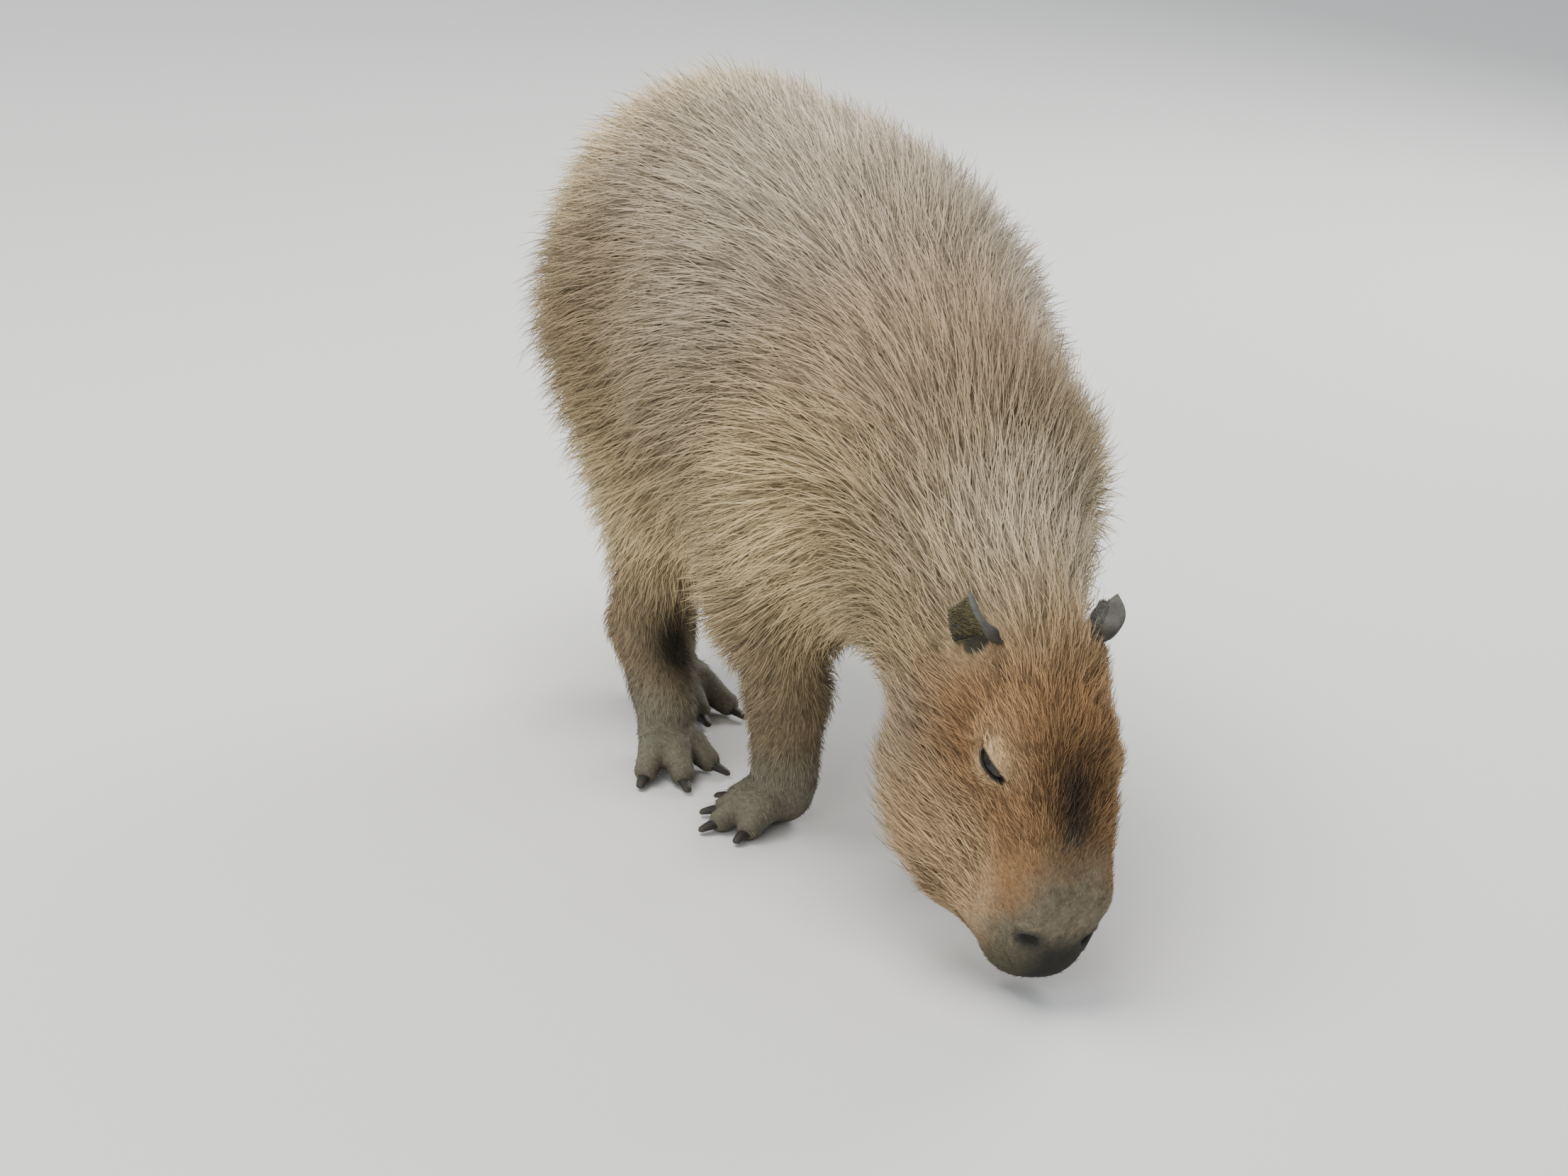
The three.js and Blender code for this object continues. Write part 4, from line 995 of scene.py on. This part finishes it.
def coat_hairs(at, n, which, kind):
    """The coat's hairs from these roots, each with the lie, length and colour of its place."""
    count = len(at)
    q = in_head(at)
    length = hair_length(at, q) * (1 + HAIR["spread"] * rng.standard_normal(count).clip(-2, 2))
    wild = noise(at, 24, 11) * 0.22 + noise(at, 9, 17) * 0.13
    way = turned(lie(at, n), n, wild + HAIR["turn"] * rng.standard_normal(count))
    body = 1 - on_head(q)
    still = 0.56 - 0.2 * ramp(q[:, 1], 180, 225) - 0.14 * body
    lift = mix(still, 0.60, body * ramp(at[:, 2], 90, 230))
    lift = lift + 0.12 * noise(at, 14, 23) + HAIR["lift_spread"] * rng.standard_normal(count)
    lift = np.clip(lift, 0.1, 0.95)
    width = np.clip(0.28 + 0.006 * length, *HAIR["width"]) * (0.8 + 0.4 * rng.random(count))
    base = markings(at)
    grain = rng.random(count)[:, None]
    shade = (0.82 + 0.45 * rng.random(count))[:, None]
    tone = base * shade * np.where(grain < 0.36, 0.38, 1.0)
    pale = (grain > 0.62) * 0.65 + 0.1
    tip_tone = mix(tone, np.maximum(base * 1.75, tone), pale)
    rings = []
    for share, size, leans in kind:
        lean = lift * leans
        up = (np.cos(lean)[:, None] * n - np.sin(lean)[:, None] * way) * HAIR["flat"]
        rings.append((share, size, lean, up, mix(tone * 0.55, tip_tone, share**0.8)))
    start = at - n * HAIR["root"]
    return strands(start, way, n, length, rings, width, tip_tone, unwrap(at, which))


coat_look = coat_material("coat_hair", 420.0, 0.85, 1.15, 0.62)


def make_coat():
    """The coat in pieces from front to back, with more bends in part of the longer hairs."""
    at, n, which = roots()
    longer = (hair_length(at, in_head(at)) > LONG_FROM) & (rng.random(len(at)) < LONG_SHARE)
    for name, mine in (("coat_long", longer), ("coat_short", ~longer)):
        kind = HAIR_KINDS[name]
        spots = np.nonzero(mine)[0]
        spots = spots[np.argsort(at[spots, 1], kind="stable")]
        each = 6 * len(kind) - 2
        parts = max(1, math.ceil(len(spots) * each / MOST_FACES))
        for number, chosen in enumerate(np.array_split(spots, parts)):
            points, faces, uv, colours, normals = coat_hairs(at[chosen], n[chosen], which[chosen], kind)
            points[:, 2] = np.maximum(points[:, 2], HAIR["above"])
            piece = new_mesh(f"{name}_{number + 1}", points, faces, SHIFT, uv, colours, normals)
            piece.data.materials.append(coat_look)
            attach(piece, "root")


make_coat()


def ring_faces(rings, spokes, first=0):
    """Triangles between rings of points."""
    faces = []
    for r in range(rings):
        for c in range(spokes):
            a, b = first + r * spokes + c, first + r * spokes + (c + 1) % spokes
            faces += [(a, b, b + spokes), (a, b + spokes, a + spokes)]
    return faces


# Eyes
def make_eye(side):
    rings, spokes = 32, 40
    radius = EYE["radius"]
    middle, (x, y, z) = oval_frame(EYE, side)
    points = [middle + z * radius * 1.02]
    for i in range(1, rings):
        a = math.pi * i / rings
        cornea = radius * (1 + 0.02 * bell(a, 0.5))
        for j in range(spokes):
            b = 2 * math.pi * j / spokes
            level = x * math.cos(b) + y * math.sin(b)
            points.append(middle + cornea * (z * math.cos(a) + level * math.sin(a)))
    points.append(middle - z * radius)
    last = 1 + (rings - 2) * spokes
    faces = [face[::-1] for face in ring_faces(rings - 2, spokes, 1)]
    for j in range(spokes):
        k = (j + 1) % spokes
        faces += [(0, 1 + j, 1 + k), (len(points) - 1, last + k, last + j)]
    points, faces = np.array(points), np.array(faces)
    off = points - middle
    spot = np.degrees(np.arccos(np.clip(unit(off) @ z, -1, 1)))
    iris = tint(EYE_BLACK, EYE_BROWN, ramp(spot, 18, 24))
    colour = tint(iris, EYE_EDGE, ramp(spot, 44, 56))
    uv = 0.5 + 0.45 * np.stack((off @ x, off @ y), 1) / radius
    name = SIDES[side]
    made = new_mesh("eyeball_" + name, points, faces, SHIFT, uv[faces.ravel()], colour)
    made.data.materials.append(eye_look)
    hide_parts("eye_" + name)
    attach(made, "root")


eye_look = coat_material("eye_wet", 300.0, 0.8, 1.2, 0.28)
feed(eye_look.node_tree, eye_look.node_tree.nodes["Principled BSDF"], {
    "Coat Weight": 0.3, "Coat Roughness": 0.08, "Specular IOR Level": 0.4})
for one_side in SIDES:
    make_eye(one_side)


# Ears
def ear_sheet(side, v, s):
    """The ear's middle sheet: s from its back rim (-1) to the front (1), v from base to top."""
    front, back, corner = (head_place(EAR[at], side) for at in ("front", "back", "corner"))
    tip = head_place(EAR["tips"][side], side)
    up = (corner + tip) / 2 - (back + front) / 2
    outward = unit(np.cross(front - back, up)) * -side
    k = (s + 1) / 2
    v = np.where(v < 0, v * (1 - 0.8 * k), v)
    t = np.clip(v, 0, 1)
    bow = EAR_SIZE["bow"] * k**2 * np.sin(np.pi * t)
    deep = EAR_SIZE["cup"] * (1 - s * s) * (1 - 0.5 * t * t)
    deep = deep + EAR_SIZE["sink"] * np.maximum(-v, 0)
    ripple = 0.4 * np.sin(5 * s + 4 * v) * ramp(v, 0.1, 0.6)
    notch = EAR_SIZE["arch"] * (1 - s**4) + EAR_SIZE["notch"] * bell(s - 0.5, 0.25)
    notch = (notch * ramp(v, 0.5, 1))[..., None]
    blunt = (0.09 * ramp(v, 0.6, 1) * s**6)[..., None]
    v, k = v[..., None], k[..., None]
    flat = (back * (1 - k) + front * k) * (1 - v) + (corner * (1 - k) + tip * k) * v
    centre = (back + front) * 0.2 + (corner + tip) * 0.3
    sheet = flat * (1 - blunt) + centre * blunt
    return sheet + outward * (bow - deep + ripple)[..., None] - unit(up) * notch


def make_ear(side):
    rows, columns = 34, 30
    along_v = np.linspace(-EAR_SIZE["below"], 1, rows + 1)
    v, s = np.meshgrid(along_v, np.linspace(-1, 1, columns + 1), indexing="ij")
    middle = ear_sheet(side, v, s)
    along = ear_sheet(side, v + 0.01, s) - ear_sheet(side, v - 0.01, s)
    across = ear_sheet(side, v, s + 0.01) - ear_sheet(side, v, s - 0.01)
    normal = unit(np.cross(across, along)) * -side
    edge = np.sqrt(np.clip(1 - s**4, 0, 1)) * np.sqrt(1 - ramp(v, 0.82, 1.0) ** 2)
    thick = EAR_SIZE["thick"] / 2 * np.maximum(edge, 0.2) * (1 + 0.7 * ramp(-v, -0.2, 0.3))
    front_rim = bell(s - 0.84, 0.13) * ramp(v, -0.1, 0.1) * (1 - ramp(v, 0.8, 1))
    knob = bell(s - 0.8, 0.2) * bell(v - 0.12, 0.13)
    thick = thick + EAR_SIZE["rim"] * front_rim + EAR_SIZE["knob"] * knob
    sheets = [middle + normal * thick[..., None], middle - normal * thick[..., None]]
    points = np.concatenate([sheet.reshape(-1, 3) for sheet in sheets])
    index = np.arange((rows + 1) * (columns + 1)).reshape(rows + 1, columns + 1)
    other = index.size
    a, b, c, d = (part.ravel() for part in
                  (index[:-1, :-1], index[:-1, 1:], index[1:, 1:], index[1:, :-1]))
    rim = np.concatenate((index[0, :-1], index[:-1, -1], index[-1, :0:-1], index[:0:-1, 0]))
    after = np.roll(rim, -1)
    quads = np.concatenate([np.stack(ring, 1) for ring in (
        (a, b, c, d), (a + other, d + other, c + other, b + other),
        (rim, rim + other, after + other, after))])
    if side < 0:
        quads = quads[:, ::-1]
    inner = np.repeat((1, 0), other)
    height, across_ear = np.tile(v.ravel(), 2), np.tile(s.ravel(), 2)
    mottled = 1 + 0.25 * noise(points, 7, 31) + 0.15 * noise(points, 3, 37)
    tone = EAR_GREY * mottled[:, None]
    # the inner side darker away from its rims: the ear's own dark skin, with painted shade in the cup
    from_rims = ramp(1 + across_ear, 0.05, 0.5) * ramp(1 - across_ear, 0.26, 0.45)
    tone = tint(tone, EAR_DARK, inner * from_rims * 0.85)
    # painted shade at the base, where the ear sinks into the coat
    tone = tint(tone, EAR_DARK * 0.6, (1 - ramp(height, 0.05, 0.38)) * 0.85)
    uv = np.stack((0.25 + 0.22 * across_ear + 0.5 * (1 - inner),
                   0.04 + 0.9 * (height + EAR_SIZE["below"]) / 1.3), 1)
    name = SIDES[side]
    made = new_mesh("ear_skin_" + name, points, quads, SHIFT, uv[quads.ravel()], np.clip(tone, 0, 1))
    made.data.materials.append(ear_look)
    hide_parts("ear_" + name)
    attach(made, "root")
    return middle, normal, unit(along), unit(across), v, thick


ear_look = coat_material("ear_skin", 500.0, 0.8, 1.2, 0.72, 1500.0)


def ear_hairs(side, grid):
    """Thin short hair on the ear's back, along its rim and inside the cup."""
    middle, normal, along, across, v, thick = grid
    rows, columns = v.shape
    count = EAR_HAIRS
    r = rng.integers(3, rows - 1, count)
    c = rng.integers(0, int(0.8 * columns), count)
    a, b = rng.random(count)[:, None], rng.random(count)[:, None]
    at = middle[r, c] * (1 - a) + middle[r + 1, c] * a
    at = at + (middle[r, c + 1] - middle[r, c]) * b
    outer = rng.random(count) < 0.5
    n = np.where(outer[:, None], -normal[r, c], normal[r, c])
    at = at + n * thick[r, c][:, None]
    length = mix(4.5, 3.0, v[r, c]) * (0.7 + 0.6 * rng.random(count))
    length = np.where(outer, length, length * 1.4)
    within = across[r, c] * (-1.1 * (~outer) + 0.25 * rng.standard_normal(count))[:, None]
    way = unit(along[r, c] * 0.8 + within)
    way = unit(way - n * (way * n).sum(1)[:, None])
    tone = np.where(outer[:, None], EAR_GREY * 1.1, EAR_HAIR)
    tone = tone * (0.6 + 0.8 * rng.random(count))[:, None]
    rings = [(share, size, np.full(count, EAR_STRAND["lift"] * lean), n, tone * dark)
             for share, size, lean, dark in EAR_RINGS]
    points, faces, uv, colours, _ = strands(
        at - n * EAR_STRAND["root"], way, n, length, rings, np.full(count, EAR_STRAND["width"]),
        tone * EAR_STRAND["tip_tone"], unwrap(at, np.full(count, 1)))
    name = "ear_hair_" + SIDES[side]
    piece = new_mesh(name, points, faces, SHIFT, uv, np.clip(colours, 0, 1))
    piece.data.materials.append(coat_look)
    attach(piece, "root")


for one_side in SIDES:
    ear_hairs(one_side, make_ear(one_side))


# Claws
def make_claw(leg_name, number, end, way):
    rings, spokes = 14, 16
    at = np.array((end[0], end[1], CLAW["up"]))
    across = np.array((-way[1], way[0], 0.0))
    points, tones = [], []
    for r in range(rings + 1):
        t = r / rings
        size = (1 - CLAW["taper"] * t**1.6) * (0.55 if r == rings else 1.0)
        along = CLAW["beyond"] - CLAW["long"] * (1 - t)
        drop = CLAW["droop"] * t * t
        for c in range(spokes):
            a = 2 * math.pi * c / spokes
            x = math.cos(a) * CLAW["wide"] * size
            z = math.sin(a) * CLAW["high"] * size * (0.7 if math.sin(a) < 0 else 1.0)
            points.append(at + way * along + across * x + np.array((0, 0, z - drop)))
            tones.append(mix(CLAW_BLACK, CLAW_TIP, t**3))
    faces = ring_faces(rings, spokes)
    last = rings * spokes
    for c in range(1, spokes - 1):
        faces += [(0, c + 1, c), (last, last + c, last + c + 1)]
    points, faces = np.array(points), np.array(faces)
    order = np.arange(len(points))
    uv = 0.1 + 0.8 * np.stack((order % spokes / spokes, order // spokes / rings), 1)
    half, side = leg_name.split("_")
    cad = f"claw_{half}_{side}_{number + 1}"
    made = new_mesh("nail_" + cad[5:], points, faces, SHIFT, uv[faces.ravel()], np.array(tones))
    made.data.materials.append(claw_look)
    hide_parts(cad)
    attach(made, "root")


claw_look = coat_material("claw_horn", 700.0, 0.8, 1.3, 0.42, 1200.0)
for leg_name, leg in LEGS.items():
    for number, (end, way) in enumerate(toe_ends(leg)):
        make_claw(leg_name, number, end, way)


# Floor, light and camera, with lengths in metres for the lights and for the camera's clip
CAMERA_AT = (-1735.4, -3071.0, 1341.4)
CAMERA_FORWARD = (0.4647, 0.8254, -0.3206)
CAMERA_UP = (0.0596, 0.3321, 0.9414)
CAMERA_LENS = 99.28
SENSOR_WIDTH = 36
CLIP_END = 60
FLOOR_HALF = 14000.0
FLOOR_PALE = (0.78, 0.78, 0.77)
LIGHTS = {
    "sky": {"at": (-0.9, 0.5, 3.2), "aim": (0, 0, 0.3), "size": 2.6, "power": 128,
            "colour": (1.0, 0.97, 0.92)},
    "fill": {"at": (-3.0, -2.6, 1.7), "aim": (0, -0.2, 0.3), "size": 2.2, "power": 64,
             "colour": (1.0, 0.98, 0.96)},
    "rim": {"at": (2.4, 1.6, 1.8), "aim": (0, 0, 0.35), "size": 1.4, "power": 62,
            "colour": (1.0, 0.98, 0.94)},
}
WORLD_COLOUR = (0.9, 0.95, 1.0, 1)
WORLD_STRENGTH = 0.62


def make_floor():
    corners = [(-1, -1, 0), (1, -1, 0), (1, 1, 0), (-1, 1, 0)]
    points = np.array(corners) * FLOOR_HALF
    made = new_mesh("floor", points, np.array([(0, 1, 2, 3)]), np.zeros(3))
    look, tree, shader = new_material("floor_paper")
    levels = add_node(tree, "ShaderNodeMapRange", {
        "Value": noise_output(tree, 3.0), "To Min": 0.88, "To Max": 0.92})
    feed(tree, shader, {"Base Color": (*FLOOR_PALE, 1), "Specular IOR Level": 0.2,
                        "Roughness": levels.outputs["Result"]})
    made.data.materials.append(look)


def make_light(name, light):
    data = bpy.data.lights.new(name, "AREA")
    data.shape = "DISK"
    data.size = light["size"]
    data.energy = light["power"]
    data.color = light["colour"]
    made = bpy.data.objects.new(name, data)
    made.location = light["at"]
    way = Vector(light["aim"]) - Vector(light["at"])
    made.rotation_euler = way.to_track_quat("-Z", "Y").to_euler()
    bpy.context.scene.collection.objects.link(made)


def make_camera():
    data = bpy.data.cameras.new("camera")
    data.sensor_fit = "HORIZONTAL"
    data.sensor_width = SENSOR_WIDTH
    data.lens = CAMERA_LENS
    data.clip_end = CLIP_END
    forward = Vector(CAMERA_FORWARD).normalized()
    right = forward.cross(Vector(CAMERA_UP)).normalized()
    up = right.cross(forward)
    turn = Matrix((right, up, -forward)).transposed().to_4x4()
    at = (np.array(CAMERA_AT) + SHIFT) / 1000
    made = bpy.data.objects.new("camera", data)
    made.matrix_world = Matrix.Translation(Vector(at)) @ turn
    bpy.context.scene.collection.objects.link(made)
    bpy.context.scene.camera = made


make_floor()
for light_name, one_light in LIGHTS.items():
    make_light(light_name, one_light)
world = bpy.data.worlds.new("studio")
world.use_nodes = True
feed(world.node_tree, world.node_tree.nodes["Background"],
     {"Color": WORLD_COLOUR, "Strength": WORLD_STRENGTH})
bpy.context.scene.world = world
make_camera()
